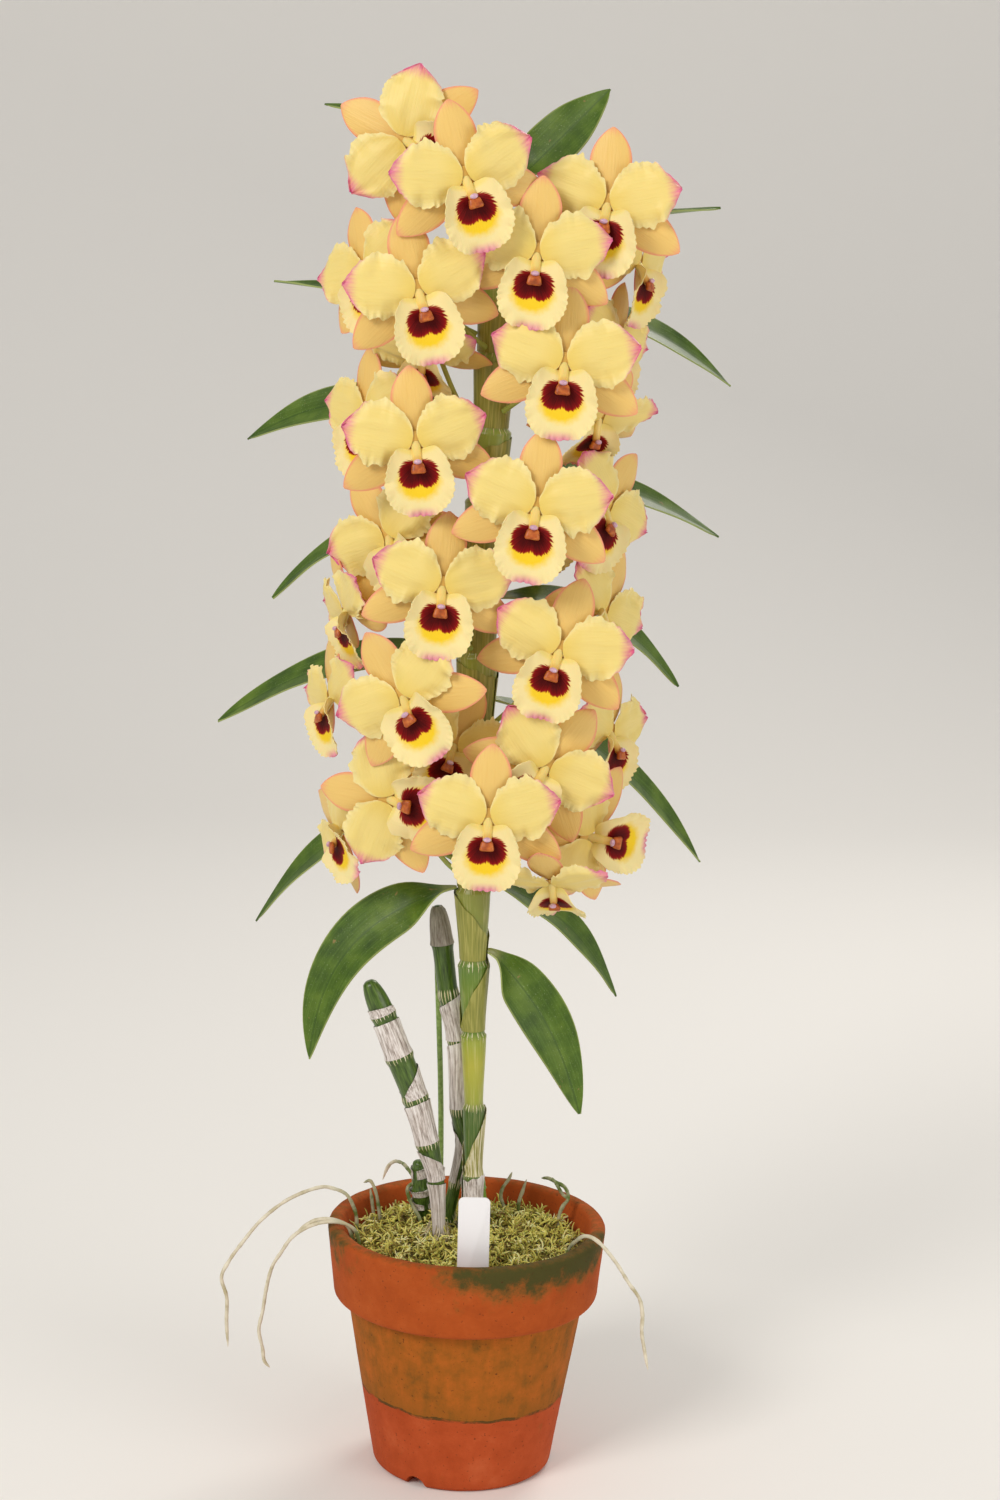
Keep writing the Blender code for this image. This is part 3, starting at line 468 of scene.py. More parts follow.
def curve_through(points, per_span):
    """Points along a smooth curve through the given ones (mm), with per_span steps from each to the next."""
    points = [Vector(point) * MM for point in points]
    ends = [2 * points[0] - points[1], *points, 2 * points[-1] - points[-2]]
    found = []
    for i in range(1, len(ends) - 2):
        a, b, c, d = ends[i - 1 : i + 3]
        for step in range(per_span):
            t = step / per_span
            bend = (2 * a - 5 * b + 4 * c - d) * t**2 + (3 * b - a - 3 * c + d) * t**3
            found.append((2 * b + (c - a) * t + bend) / 2)
    found.append(points[-1])
    return found


def frames_along(points, radii):
    """Rows of (centre, side, across, radius) along a stem, its side turning as little as it can."""
    side = Vector((1, 0, 0.001))
    found = []
    for i, (point, radius) in enumerate(zip(points, radii)):
        along = (points[min(i + 1, len(points) - 1)] - points[max(i - 1, 0)]).normalized()
        side = (side - along * side.dot(along)).normalized()
        found.append((point, side.copy(), along.cross(side), radius))
    return found


def at(rows, place):
    """The row at a place between two rows."""
    low = min(max(int(place), 0), len(rows) - 2)
    share = place - low
    return [a + (b - a) * share for a, b in zip(rows[low], rows[low + 1])]


def stem(rows, sides):
    """A closed round stem over the rows. Its seam is at the back."""
    first = (*rows[0][:3], 0)
    last = (*rows[-1][:3], 0)
    rows = [first, *rows, last]

    def place(across, along):
        centre, side, other, radius = rows[round(along * (len(rows) - 1))]
        angle = math.tau * (across + 0.25)
        return centre + (side * math.cos(angle) + other * math.sin(angle)) * radius

    return grid(sides, len(rows) - 1, place)


# PVC skin over wire: smooth and satin, with a few scuffs
green_pvc, tree = new_finish("green_pvc_skin")
coords = add(tree, "TexCoord").outputs["Object"]
scuffs = add(tree, "TexNoise", {"Vector": coords, "Scale": 500, "Detail": 4})
shade = add(tree, "ValToRGB", {0: scuffs}, stops=((0.3, "#6C8A3A"), (0.55, "#8CA858"), (0.75, "#A4BC70")))
add(tree, None, {"Base Color": shade, "Roughness": 0.42, "IOR": 1.52})
stake_points = curve_through(STAKE_ROUTE, 20)
stake_radii = [STAKE_RADIUS] * (len(stake_points) - 1) + [STAKE_RADIUS * 0.6]
piece("stake_rod", stem(frames_along(stake_points, stake_radii), 24), "green_coated_wire", [green_pvc],
      "stake")


# ---- The main cane
# This year's flowering stem: about sixteen joints, slim at the foot and stout in the middle. Each length is
# wrapped in the dried base of its leaf, which ends in a ring of pale fibres at the joint below.

JOINTS = (126, 163, 201, 241, 280, 320, 362, 404, 445, 486, 525, 561, 599, 634, 669, 692)
THIN_RADIUS = 5.0 * MM
STOUT_RADIUS = 9.6 * MM
CANE_FOOT = 110
CANE_TOP = 695
CANE_STEP = 1.2
SHEATH_THICKNESS = 0.2 * MM


def main_cane_axis(height):
    """Centre of the main cane at a height."""
    share = height / (JOINTS[-1] * MM)
    x = 3.2 * MM * math.sin(8.2 * share - 0.1) * (1 - 0.6 * share) + 4 * MM * ease(3 * share - 2)
    return Vector((x, -2 * MM * math.sin(5 * share), height))


def main_cane_radius(height):
    """Radius of the main cane halfway up a length."""
    return THIN_RADIUS + (STOUT_RADIUS - THIN_RADIUS) * ease((height - 0.16) / 0.24) - 5 * MM * ease(
        (height - 0.60) / 0.10)


def main_cane_swell(height):
    """How each length flares to the ring at its top, then steps in where the next one comes out of it."""
    for low, high in zip(JOINTS, JOINTS[1:]):
        if height / MM <= high:
            share = (height / MM - low) / (high - low)
            break
    if share < 0:
        return 0.93
    return 0.93 + 0.17 * ease(share / 0.9) + 0.03 * math.exp(-(((share - 0.95) / 0.02) ** 2)) - 0.17 * ease(
        (share - 0.965) / 0.035)


cane_steps = int((CANE_TOP - CANE_FOOT) / CANE_STEP)
main_heights = [CANE_FOOT * MM + i * CANE_STEP * MM for i in range(cane_steps + 1)]
main_radii = []
for height in main_heights:
    blunt_end = 1 - 0.75 * ease((height - 0.688) / 0.007)
    main_radii.append(main_cane_radius(height) * main_cane_swell(min(height, 0.6919)) * blunt_end)
main_rows = frames_along([main_cane_axis(height) for height in main_heights], main_radii)


def main_row(height):
    """The row of the main cane at a height in mm."""
    return at(main_rows, (height - CANE_FOOT) / CANE_STEP)


def thicken(bm, thickness):
    """Gives a sheet its thickness, straight back from each corner."""
    bm.normal_update()
    way = bm.verts.layers.float_vector.new("way")
    for vertex in bm.verts:
        vertex[way] = vertex.normal
    grown = bmesh.ops.extrude_face_region(bm, geom=bm.faces[:])
    for vertex in grown["geom"]:
        if isinstance(vertex, bmesh.types.BMVert):
            vertex.co -= vertex[way] * thickness
    bm.verts.layers.float_vector.remove(way)
    bmesh.ops.recalc_face_normals(bm, faces=bm.faces)


def sheath(row_at, low, high, slant, opening, gap, lift, flare):
    """A thin wrap round a stem from low to high (mm along it). Its upper edge drops by slant at its opening,
    where a gap (degrees) is left between its two edges. It stands lift off the stem, and flare more at its
    top.
    """

    def place(across, along):
        angle = math.radians(opening + gap / 2 + (360 - gap) * across)
        edge = abs(2 * across - 1)
        top = high - slant * edge**1.5 + 0.8 * math.sin(angle * 7) * edge
        height = low + (top - low) * along
        centre, side, other, radius = row_at(height)
        ripple = 0.15 * math.sin(angle * 9 + along * 2) * along
        out = radius + (lift + flare * along**3 + ripple + 0.5 * edge**6) * MM
        return centre + (side * math.cos(angle) + other * math.sin(angle)) * out

    bm = grid(48, 10, place)
    thicken(bm, SHEATH_THICKNESS)
    return bm


def joined(parts):
    """Several shapes in one. Each part is (shape, material number)."""
    whole = bmesh.new()
    for bm, number in parts:
        face_outward(bm)
        for face in bm.faces:
            face.material_index = number
        mesh = bpy.data.meshes.new("part")
        bm.to_mesh(mesh)
        bm.free()
        whole.from_mesh(mesh)
        bpy.data.meshes.remove(mesh)
    return whole


def teeth(row_at, height, length, count, shuffle, width):
    """A ring of pointed fibres that hang over the joint at a height."""
    threads = []
    for number in range(count):
        angle = math.tau * (number + shuffle.uniform(-0.3, 0.3)) / count
        rows = []
        drop = length * shuffle.uniform(0.5, 1.15)
        for i in range(6):
            share = i / 5
            centre, side, other, radius = row_at(height + 1.5 - (drop + 1.5) * share)
            out = side * math.cos(angle) + other * math.sin(angle)
            round_it = side * -math.sin(angle) + other * math.cos(angle)
            thick = width * MM * math.sin(math.pi * min(share * 1.6 + 0.001, 0.5)) * (1 - share) ** 0.6
            rows.append((centre + out * (radius + 0.05 * MM), round_it, out * 0.5, thick))
        threads.append((rows, shuffle.random()))
    return bundle(threads, 4)


# Cane skin: waxy green, yellower where the thin leaf base covers it, with fine pale veins along its length
CANE_COLOURS = (  # height (mm) and colour
    (110, "#6F8A35"), (160, "#57742A"), (200, "#43621C"), (204, "#9CA33A"), (225, "#B2AF3C"),
    (238, "#96A032"), (243, "#5A7A1E"), (262, "#6E8624"), (279, "#5C7A2C"), (284, "#7F8A36"),
    (330, "#8C913E"), (461, "#909A42"), (607.25, "#8CA04A"), (695, "#6E8F3A"),
)
cane_skin, tree = new_finish("waxy_cane_skin")
uv = add(tree, "UVMap")
along = add(tree, "SeparateXYZ", {0: uv}).outputs["Y"]
veins = add(tree, "TexNoise", {"Vector": add(tree, "Mapping", {"Vector": uv, "Scale": (60, 22, 1)}),
                               "Scale": 1, "Detail": 3, "Roughness": 0.6})  # about sixty veins round it
cloud = add(tree, "TexNoise", {"Vector": add(tree, "Mapping", {"Vector": uv, "Scale": (3, 28, 1)}),
                               "Scale": 1})
base = add(tree, "ValToRGB", {0: along}, stops=[
    ((height - CANE_FOOT) / (CANE_TOP - CANE_FOOT), code) for height, code in CANE_COLOURS])
vein_mask = add(tree, "MapRange", {0: veins, 1: 0.52, 2: 0.7, 4: 0.4})
shade = add(tree, "MixRGB", {0: vein_mask, 1: base, 2: "#D8CF96"})
darker = add(tree, "MapRange", {0: cloud, 1: 0.55, 2: 0.75, 4: 0.35})
shade = add(tree, "MixRGB", {0: darker, 1: shade, 2: "#6B7A30"})
ribs = add(tree, "Bump", {"Height": veins, "Strength": 0.35, "Distance": 0.4 * MM})
add(tree, None, {"Base Color": shade, "Roughness": 0.3, "Normal": ribs, "Subsurface Weight": 0.1,
                 "Subsurface Scale": 1 * MM})

# Dried leaf base: paper-thin and fibrous, silver-white to pinkish grey, with cream veins and dark fine lines
paper, tree = new_finish("dry_papery_sheath")
uv = add(tree, "UVMap")
veins = add(tree, "TexNoise", {"Vector": add(tree, "Mapping", {"Vector": uv, "Scale": (34, 1.6, 1)}),
                               "Scale": 1, "Detail": 4, "Roughness": 0.7})
coords = add(tree, "TexCoord").outputs["Object"]
stains = add(tree, "TexNoise", {"Vector": coords, "Scale": 120, "Detail": 4})
shade = add(tree, "ValToRGB", {0: veins}, stops=((0.34, "#6B5E54"), (0.43, "#B2A69E"), (0.52, "#DCD3CE"),
                                                 (0.66, "#FAF6F2")))
shade = add(tree, "MixRGB", {0: add(tree, "MapRange", {0: stains, 1: 0.5, 2: 0.75, 4: 0.5}),
                             1: shade, 2: "#A08E80"})
ribs = add(tree, "Bump", {"Height": veins, "Strength": 0.7, "Distance": 0.5 * MM})
add(tree, None, {"Base Color": shade, "Roughness": 0.7, "Normal": ribs, "Sheen Weight": 0.2})


def streaked_skin(name, repeats, detail, grain, stops, roughness, rib, rib_depth):
    """A stem's skin with veins along it: about as many round it and along it as repeats says. grain is how
    rough the veins are, and rib how much they stand out, up to rib_depth (mm).
    """
    made, tree = new_finish(name)
    uv = add(tree, "UVMap")
    veins = add(tree, "TexNoise", {"Vector": add(tree, "Mapping", {"Vector": uv, "Scale": (*repeats, 1)}),
                                   "Scale": 1, "Detail": detail, "Roughness": grain})
    shade = add(tree, "ValToRGB", {0: veins}, stops=stops)
    ribs = add(tree, "Bump", {"Height": veins, "Strength": rib, "Distance": rib_depth * MM})
    add(tree, None, {"Base Color": shade, "Roughness": roughness, "Normal": ribs})
    return made


# Living leaf base: thinner and still green-yellow, satin, with pale veins
live_sheath = streaked_skin("living_leaf_base", (50, 1.5), 3, 0.5, (
    (0.3, "#787C30"), (0.5, "#8F8E3E"), (0.7, "#ACA65A")), 0.42, 0.4, 0.4)

# Half-dried leaf base: cream fibres with the olive skin between them
striped_sheath = streaked_skin("half_dried_leaf_base", (44, 1.2), 3, 0.6, (
    (0.38, "#7E8136"), (0.48, "#B4AB6A"), (0.56, "#DED6B4"), (0.7, "#F3EEDC")), 0.5, 0.6, 0.4)

# Joint fibres: pale cream, dry
joint_fibre = fibre_finish("cream_joint_fibre", 0.7, ((0.0, "#C9BE8E"), (1.0, "#F0EACB")))

cane_shuffle = random.Random(11)
main_parts = [(stem(main_rows, 48), 0)]
for low, high, slant, opening, gap, lift, flare, number in (
    (147, 163, 4, 200, 30, 0.3, 0.3, 1), (162, 200, 34, 208, 16, 0.35, 0.6, 4),
    (242.6, 283, 38, 200, 6, 0.4, 0.5, 2), (281.6, 319, 26, 350, 40, 0.4, 0.5, 2),
    *((low + 1, high - 3, 9, cane_shuffle.uniform(0, 360), 16, 0.25, 0.3, 2)
      for low, high in zip(JOINTS[5:], JOINTS[6:-1])),
):
    main_parts.append((sheath(main_row, low, high, slant, opening, gap, lift, flare), number))
for heights, length, count, width in (((163, 201, 241, 280), 4.6, 16, 0.3), (JOINTS[5:-1], 2.5, 18, 0.25)):
    for height in heights:
        main_parts.append((teeth(main_row, height, length, count, cane_shuffle, width), 3))
piece("main_cane_stem", joined(main_parts), "green_cane",
      [cane_skin, paper, live_sheath, joint_fibre, striped_sheath], "main_cane")


# ---- The older canes
# Two canes of earlier years, whose leaf bases have dried to white paper that has torn away in places, so
# bands of the dark green cane show between them. Next year's shoot comes up behind the main cane.

SECOND_ROUTE = ((-13, 12, 112), (-11, 12, 130), (-7, 12, 152), (-3, 12, 176), (-6, 12, 193), (-8, 13, 232),
                (-13, 13, 257), (-17, 14, 285), (-20, 14, 306))
SECOND_RADII = (3.6, 3.8, 3.4, 4.2, 4.6, 5.0, 5.4, 5.8, 1.2)
OLD_ROUTE = ((-15, -8, 112), (-15, -9, 130), (-17, -10, 160), (-22, -10, 181), (-29, -10, 206),
             (-38, -10, 229), (-47, -10, 252), (-55, -10, 270))
OLD_RADII = (2.6, 3.0, 4.2, 6.2, 6.8, 7.4, 6.6, 2.0)
SHOOT_ROUTE = ((4, 13, 114), (4, 13, 130), (4, 13, 142), (4, 12, 150), (5, 12, 158))
SHOOT_RADII = (3.5, 5.2, 6.6, 5.6, 0.6)
SPAN_ROWS = 16


def ringed_rows(route, radii):
    """Rows of a jointed cane: a raised ring at each joint, smooth between."""
    points = curve_through(route, SPAN_ROWS)
    fine = []
    for i in range(len(points)):
        low = min(i // SPAN_ROWS, len(radii) - 2)
        share = i / SPAN_ROWS - low
        ring = 0.97 + 0.10 * math.exp(-((min(share, 1 - share) / 0.07) ** 2))
        width = radii[low] + (radii[low + 1] - radii[low]) * share
        if low == len(radii) - 2:
            width = radii[-1] + (radii[-2] - radii[-1]) * math.sqrt(max(0, 1 - share**2))
        fine.append(width * ring * MM)
    return frames_along(points, fine)


# Old cane skin: dark and glossy, with pale streaks
old_skin = streaked_skin("old_cane_skin", (26, 14), 4, 0.65, (
    (0.3, "#26380F"), (0.5, "#46601F"), (0.66, "#5F7A30"), (0.8, "#9CA66A")), 0.3, 0.3, 0.4)

# Weathered leaf base: browner and greyer than the white ones
grey_paper = streaked_skin("weathered_sheath", (48, 2.5), 4, 0.7, (
    (0.28, "#6B5F52"), (0.45, "#A0948A"), (0.6, "#C2B8AE"), (0.75, "#E2DAD0")), 0.75, 0.7, 0.5)


def old_growth(route, radii, sides, sheaths, flare, rings, drop, count, width):
    """An older cane or bulb: its stem, its dried sheaths and the rings of fibres at some of its joints, whose
    places are counted in spans of its route. A sheath is (low, high, slant, opening, gap, material number).
    """
    rows = ringed_rows(route, radii)
    parts = [(stem(rows, sides), 0)]
    for low, high, slant, opening, gap, number in sheaths:
        wrap = sheath(lambda height: at(rows, height / 100 * SPAN_ROWS), low * 100, high * 100, slant * 100,
                      opening, gap, 0.3, flare)
        parts.append((wrap, number))
    for place in rings:
        ring = teeth(lambda height: at(rows, height / 10 * SPAN_ROWS), place * 10, drop, count, cane_shuffle,
                     width)
        parts.append((ring, 2))
    return parts


second_parts = old_growth(SECOND_ROUTE, SECOND_RADII, 32, (
    (2.03, 3.92, 1.1, 285, 30, 1), (4.05, 5.0, 0.15, 130, 24, 1), (5.02, 6.0, 0.25, 180, 24, 1),
    (7.0, 7.99, 0.02, 150, 4, 3),
), 0.4, (2, 4, 5, 6), 1.6, 20, 0.45)
piece("second_cane_stem", joined(second_parts), "dry_sheath", [old_skin, paper, joint_fibre, grey_paper],
      "second_cane")

old_parts = old_growth(OLD_ROUTE, OLD_RADII, 36, (
    (0.6, 2.0, 0.1, 60, 10, 1), (2.05, 2.9, 0.6, 20, 50, 1), (3.05, 3.95, 0.15, 120, 24, 1),
    (4.05, 4.7, 0.5, 200, 80, 1), (5.04, 5.85, 0.12, 100, 24, 1), (6.02, 6.25, 0.1, 60, 150, 1),
), 0.45, (3, 4, 5, 6), 1.2, 22, 0.4)
piece("old_cane_stem", joined(old_parts), "dry_sheath", [old_skin, paper, joint_fibre], "old_cane")

# Next year's shoot, a fat green bud: fresh and waxy
young_skin = streaked_skin("fresh_waxy_shoot", (30, 2), 3, 0.5, (
    (0.3, "#4F7A1C"), (0.5, "#6A962C"), (0.7, "#8BB04A")), 0.35, 0.3, 0.3)
piece("young_shoot", stem(ringed_rows(SHOOT_ROUTE, SHOOT_RADII), 28), "green_cane", [young_skin])


# ---- The aerial roots
# Live roots in their spongy cream skin, 2 mm thick, that climb out of the moss and hang over the rim. The
# parts in the damp of the pot are green, and the growing tips taper. A cut-back bulb has two of them.

ROOT_RADIUS = 0.95 * MM
ROOT_STEPS = 14
ROOT_SIDES = 14
BULB_ROUTE = ((-24, 22, 112), (-24, 22, 126), (-25, 22, 134), (-26, 21, 145), (-27, 21, 157), (-27, 21, 161))
BULB_RADII = (2.6, 2.8, 4.5, 5.2, 3.8, 1.6)
BULB_ROOT = ((-28, 23, 147), (-33, 33, 151), (-37, 47, 150), (-42, 61, 146), (-46, 71, 139), (-49, 78, 129))
BULB_DOWN_ROOT = ((-29, 20, 149), (-33, 17, 146), (-31, 15, 139), (-26, 12, 131), (-22, 10, 120))
SIDE_ROOTS = {
    "root_left_low": ((-60, -17, 120), (-63, -16, 135), (-72, -15, 139), (-81, -14, 138), (-88, -13, 133),
                      (-93, -13, 127)),
    "root_inner_left": ((-50, 30, 116), (-52, 30, 128), (-53, 31, 135), (-54, 33, 140)),
    "root_inner_right": ((28, 36, 116), (28, 36, 132), (30, 38, 139), (32, 40, 145)),
    "root_curly": ((55, 25, 140), (52, 28, 141), (49, 27, 146), (46, 30, 150)),
}
ROOTS = {
    "root_left_high": ((-60, 8, 117), (-60, 8, 131), (-62, 9, 138), (-66, 11, 144), (-73, 14, 146),
                       (-80, 13, 147), (-91, 10, 144), (-101, 7, 139), (-112, 4, 130), (-121, 1, 119),
                       (-128, -1, 109), (-132, -3, 100), (-129, -4, 89), (-129, -4, 75), (-128, -5, 61)),
    "root_left_low": ((-56, -18, 117), (-58, -18, 131), (-62, -17, 136), (-69, -16, 138), (-78, -15, 137),
                      (-87, -14, 133), (-94, -13, 127), (-99, -12, 119), (-104, -11, 110), (-107, -10, 98),
                      (-109, -9, 84), (-111, -9, 73), (-109, -8, 62), (-108, -8, 55), (-105, -8, 51)),
    "root_right": ((52, -31, 117), (54, -32, 131), (58, -35, 138), (63, -38, 142), (70, -42, 140),
                   (79, -44, 130), (86, -44, 119), (92, -43, 110), (94, -43, 101), (94, -43, 91),
                   (96, -43, 80), (98, -43, 70)),
    "root_inner_left": ((-47, 28, 116), (-49, 30, 130), (-51, 33, 138), (-54, 36, 143), (-58, 39, 141)),
    "root_inner_right": ((22, 40, 116), (20, 40, 128), (18, 41, 134), (19, 42, 139), (22, 44, 143),
                         (24, 46, 147)),
    "root_curly": ((49, 22, 116), (50, 22, 130), (52, 23, 136), (55, 25, 140), (53, 28, 145), (48, 31, 147),
                   (44, 34, 148), (40, 37, 147)),
}


def root_rows(route, seed):
    """Rows of a knobbly root that tapers over its last span to a round tip."""
    points = curve_through(route, ROOT_STEPS)
    last = len(points) - 1
    radii = []
    for i, point in enumerate(points):
        left = (last - i) / ROOT_STEPS
        knob = 1.04 + 0.22 * noise.noise(point * 260 + Vector((seed, 0, 0))) + 0.1 * noise.noise(point * 900)
        radii.append(ROOT_RADIUS * knob * (1 - 0.45 * ease(1 - left)) * math.sqrt(min(1, left * 3 + 0.02)))
    return frames_along(points, radii)


# Root skin (velamen): dry, matt and finely wrinkled, cream, greener down in the pot
root_skin, tree = new_finish("root_velamen")
coords = add(tree, "TexCoord").outputs["Object"]
here = add(tree, "Mapping", {"Vector": coords, "Location": -STAND})
flat = add(tree, "VectorMath", {0: here, 1: (1, 1, 0)}, operation="MULTIPLY")
reach = add(tree, "VectorMath", {0: flat}, operation="LENGTH").outputs["Value"]
cloud = add(tree, "TexNoise", {"Vector": coords, "Scale": 150, "Detail": 4})
wrinkle = add(tree, "TexNoise", {"Vector": coords, "Scale": 1500, "Detail": 3})
shade = add(tree, "ValToRGB", {0: cloud}, stops=((0.3, "#B7AC86"), (0.5, "#D9D0B8"), (0.7, "#EAE3CE")))
damp = add(tree, "MapRange", {0: reach, 1: 78 * MM, 2: 62 * MM}, interpolation_type="SMOOTHSTEP")
damp = add(tree, "Math", {0: damp, 1: add(tree, "MapRange", {0: cloud, 1: 0.3, 2: 0.6})},
           operation="MULTIPLY")
shade = add(tree, "MixRGB", {0: damp, 1: shade, 2: "#5F6E2E"})
add(tree, None, {"Base Color": shade, "Roughness": 0.82,
                 "Normal": add(tree, "Bump", {"Height": wrinkle, "Strength": 0.4, "Distance": 0.2 * MM})})

for number, (name, route) in enumerate(ROOTS.items()):
    strands = [(stem(root_rows(route, number), ROOT_SIDES), 0)]
    if name in SIDE_ROOTS:
        strands.append((stem(root_rows(SIDE_ROOTS[name], number + 20), ROOT_SIDES), 0))
    piece(name + "_skin", joined(strands), "root_skin", [root_skin], name, sharp=180)

bulb_parts = old_growth(BULB_ROUTE, BULB_RADII, 32, (
    (2.0, 2.5, 0.2, 300, 30, 2), (2.7, 3.1, 0.15, 200, 30, 2), (3.5, 4.2, 0.3, 240, 30, 2),
), 0.5, (), 0, 0, 0)
for route, seed in ((BULB_ROOT, 9), (BULB_DOWN_ROOT, 8)):
    bulb_parts.append((stem(root_rows(route, seed), ROOT_SIDES), 1))
piece("back_bulb_stem", joined(bulb_parts), "dry_sheath", [old_skin, root_skin, paper], "back_bulb")


# ---- The leaves
# Fifteen leathery strap leaves in two rows, each on the joint where its sheath ends. The upper face is deep
# green with parallel veins and a pale edge, and the underside is paler.

# height of the joint, side (-1 left, 1 right), length, width (mm), then in degrees above level its rise at
# the root and at the tip, its swing towards the front, and the roll of its upper face to the front
LEAVES = (
    (686, 1, 66, 27, 44, 46, -10, 62),
    (680, -1, 98, 22, 44, 8, -10, 25),
    (656, 1, 110, 20, 14, 6, -16, 8),
    (622, -1, 112, 20, 6, 4, -18, 10),
    (622, 1, 142, 24, 0, -34, -30, 26),
    (560, -1, 137, 25, 17, -28, -25, 40),
    (542, 1, 124, 22, -8, -28, -18, 22),
    (506, -1, 118, 22, 4, -46, -18, 20),
    (474, 1, 120, 24, -4, -49, -22, 24),
    (444, -1, 160, 24, -6, -33, -28, 26),
    (420, 1, 174, 24, -22, -51, -33, 22),
    (366, -1, 156, 22, -16, -52, -30, 22),
    (322, 1, 116, 22, -24, -58, -34, 24),
    (320, -1, 130, 28, -21, -83, 2, 58),
    (286, 1, 103, 27, -48, -74, 0, 64),
)
LEAF_THICKNESS = 0.8 * MM
LEAF_STEPS = 40


def leaf_shape(height, side, length, width, rise, fall, swing, roll):
    """middle(s, t) of one leaf, an arc that turns smoothly from its rise to its fall."""
    heading = math.radians(swing)
    outward = Vector((side * math.cos(heading), -math.sin(heading), 0))
    gap = main_cane_radius(height * MM) * 0.1 + 1.3 * MM  # its root reaches in over this to the cane
    start = main_cane_axis(height * MM) + outward * (main_cane_radius(height * MM) * 1.12 + 1.3 * MM)
    spine = [start]
    for i in range(LEAF_STEPS):
        slope = math.radians(rise + (fall - rise) * ease((i + 0.5) / LEAF_STEPS))
        direction = outward * math.cos(slope) + Vector((0, 0, math.sin(slope)))
        spine.append(spine[-1] + direction * (length * MM / LEAF_STEPS))

    def middle(s, t):
        slope = math.radians(rise + (fall - rise) * ease(t))
        tangent = outward * math.cos(slope) + Vector((0, 0, math.sin(slope)))
        level = Vector((0, -1, 0)) - tangent * tangent.dot(Vector((0, -1, 0)))
        level.normalize()
        above = level.cross(tangent).normalized() * side
        tilt = math.radians(roll) * ease(4 * t)
        across = (level * math.cos(tilt) - above * math.sin(tilt)) * side
        face = above * math.cos(tilt) + level * math.sin(tilt)
        belly = math.sin(math.pi * t**0.8) ** 0.75 if 0 < t < 1 else 0
        half = max(width / 2 * (0.2 * (1 - t) + 0.93 * belly), 0.3) * MM
        fold = 0.22 * half * abs(s) ** 1.3
        index = min(int(t * LEAF_STEPS), LEAF_STEPS - 1)
        centre = spine[index].lerp(spine[index + 1], t * LEAF_STEPS - index)
        centre = centre - outward * gap * max(0, 1 - t / 0.04)
        wave = 0.5 * MM * abs(s) ** 2 * math.sin(t * 13 + side * s * 2 + height)
        return centre + across * half * s + face * (fold + wave), (half * s / MM, t * length, abs(s))

    return middle


def blade(columns, rows, middle, spread, thickness):
    """A petal or leaf from its middle surface: middle(s, t) gives the place, then the flat place (mm) with
    how near it is to the edge. spread(v) gives t, so that the rows are closer where the outline turns.
    """
    flat_places = {}

    def place(across, along):
        point, flat = middle(2 * across - 1, spread(along))
        flat_places[len(flat_places)] = flat
        return point

    bm = grid(columns, rows, place)
    flat_layer = bm.verts.layers.float_vector.new("flat")
    under = bm.verts.layers.float.new("under")
    for index, vertex in enumerate(bm.verts):
        vertex[flat_layer] = flat_places[index]
    thicken(bm, thickness)
    for index, vertex in enumerate(bm.verts):
        vertex[under] = index >= len(flat_places)
    return bm


def to_both_ends(v):
    """Closer rows at the root and at the tip."""
    return (1 - math.cos(math.pi * v)) / 2


# Leaf: a waxy cuticle, deep green with paler clouds, parallel veins a millimetre apart, dust and pale edges
leaf_green, tree = new_finish("waxy_leaf")
flat = add(tree, "Attribute", attribute_name="flat").outputs["Vector"]
apart = add(tree, "SeparateXYZ", {0: flat})
side = add(tree, "Math", {0: apart.outputs["X"]}, operation="ABSOLUTE")
veins = add(tree, "TexNoise", {"Vector": add(tree, "Mapping", {"Vector": flat, "Scale": (1.3, 0.03, 1)}),
                               "Scale": 1, "Detail": 3})
coords = add(tree, "TexCoord").outputs["Object"]
cloud = add(tree, "TexNoise", {"Vector": coords, "Scale": 70, "Detail": 4})
dust = add(tree, "TexNoise", {"Vector": coords, "Scale": 1400, "Detail": 2})
shade = add(tree, "ValToRGB", {0: cloud}, stops=((0.3, "#2F4A0A"), (0.5, "#466212"), (0.7, "#607A24")))
scar = add(tree, "TexNoise", {"Vector": coords, "Scale": 105, "Detail": 3, "Roughness": 0.6})
under = add(tree, "Attribute", attribute_name="under").outputs["Fac"]
root = add(tree, "MapRange", {0: apart.outputs["Y"], 1: 9, 2: 1, 4: 0.9}, interpolation_type="SMOOTHSTEP")
for mask, tint in (
    (add(tree, "MapRange", {0: veins, 1: 0.45, 2: 0.7, 4: 0.3}), "#688A38"),
    (add(tree, "MapRange", {0: side, 1: 0.7, 2: 0.2, 4: 0.5}), "#2C4A10"),  # the groove down its middle
    (root, "#8E9444"),
    (add(tree, "Math", {0: under, 1: 0.75}, operation="MULTIPLY"), "#7F9657"),
    (add(tree, "MapRange", {0: apart.outputs["Z"], 1: 0.94, 2: 0.99, 4: 0.7}), "#A3AE68"),  # the pale edge
    (add(tree, "MapRange", {0: scar, 1: 0.685, 2: 0.71, 4: 0.8}), "#8D7444"),
    (add(tree, "MapRange", {0: dust, 1: 0.64, 2: 0.72, 4: 0.5}), "#8FA070"),
):
    shade = add(tree, "MixRGB", {0: mask, 1: shade, 2: tint})
ribs = add(tree, "Bump", {"Height": veins, "Strength": 0.35, "Distance": 0.4 * MM})
add(tree, None, {"Base Color": shade, "Roughness": 0.46, "Normal": ribs, "Specular IOR Level": 0.35})

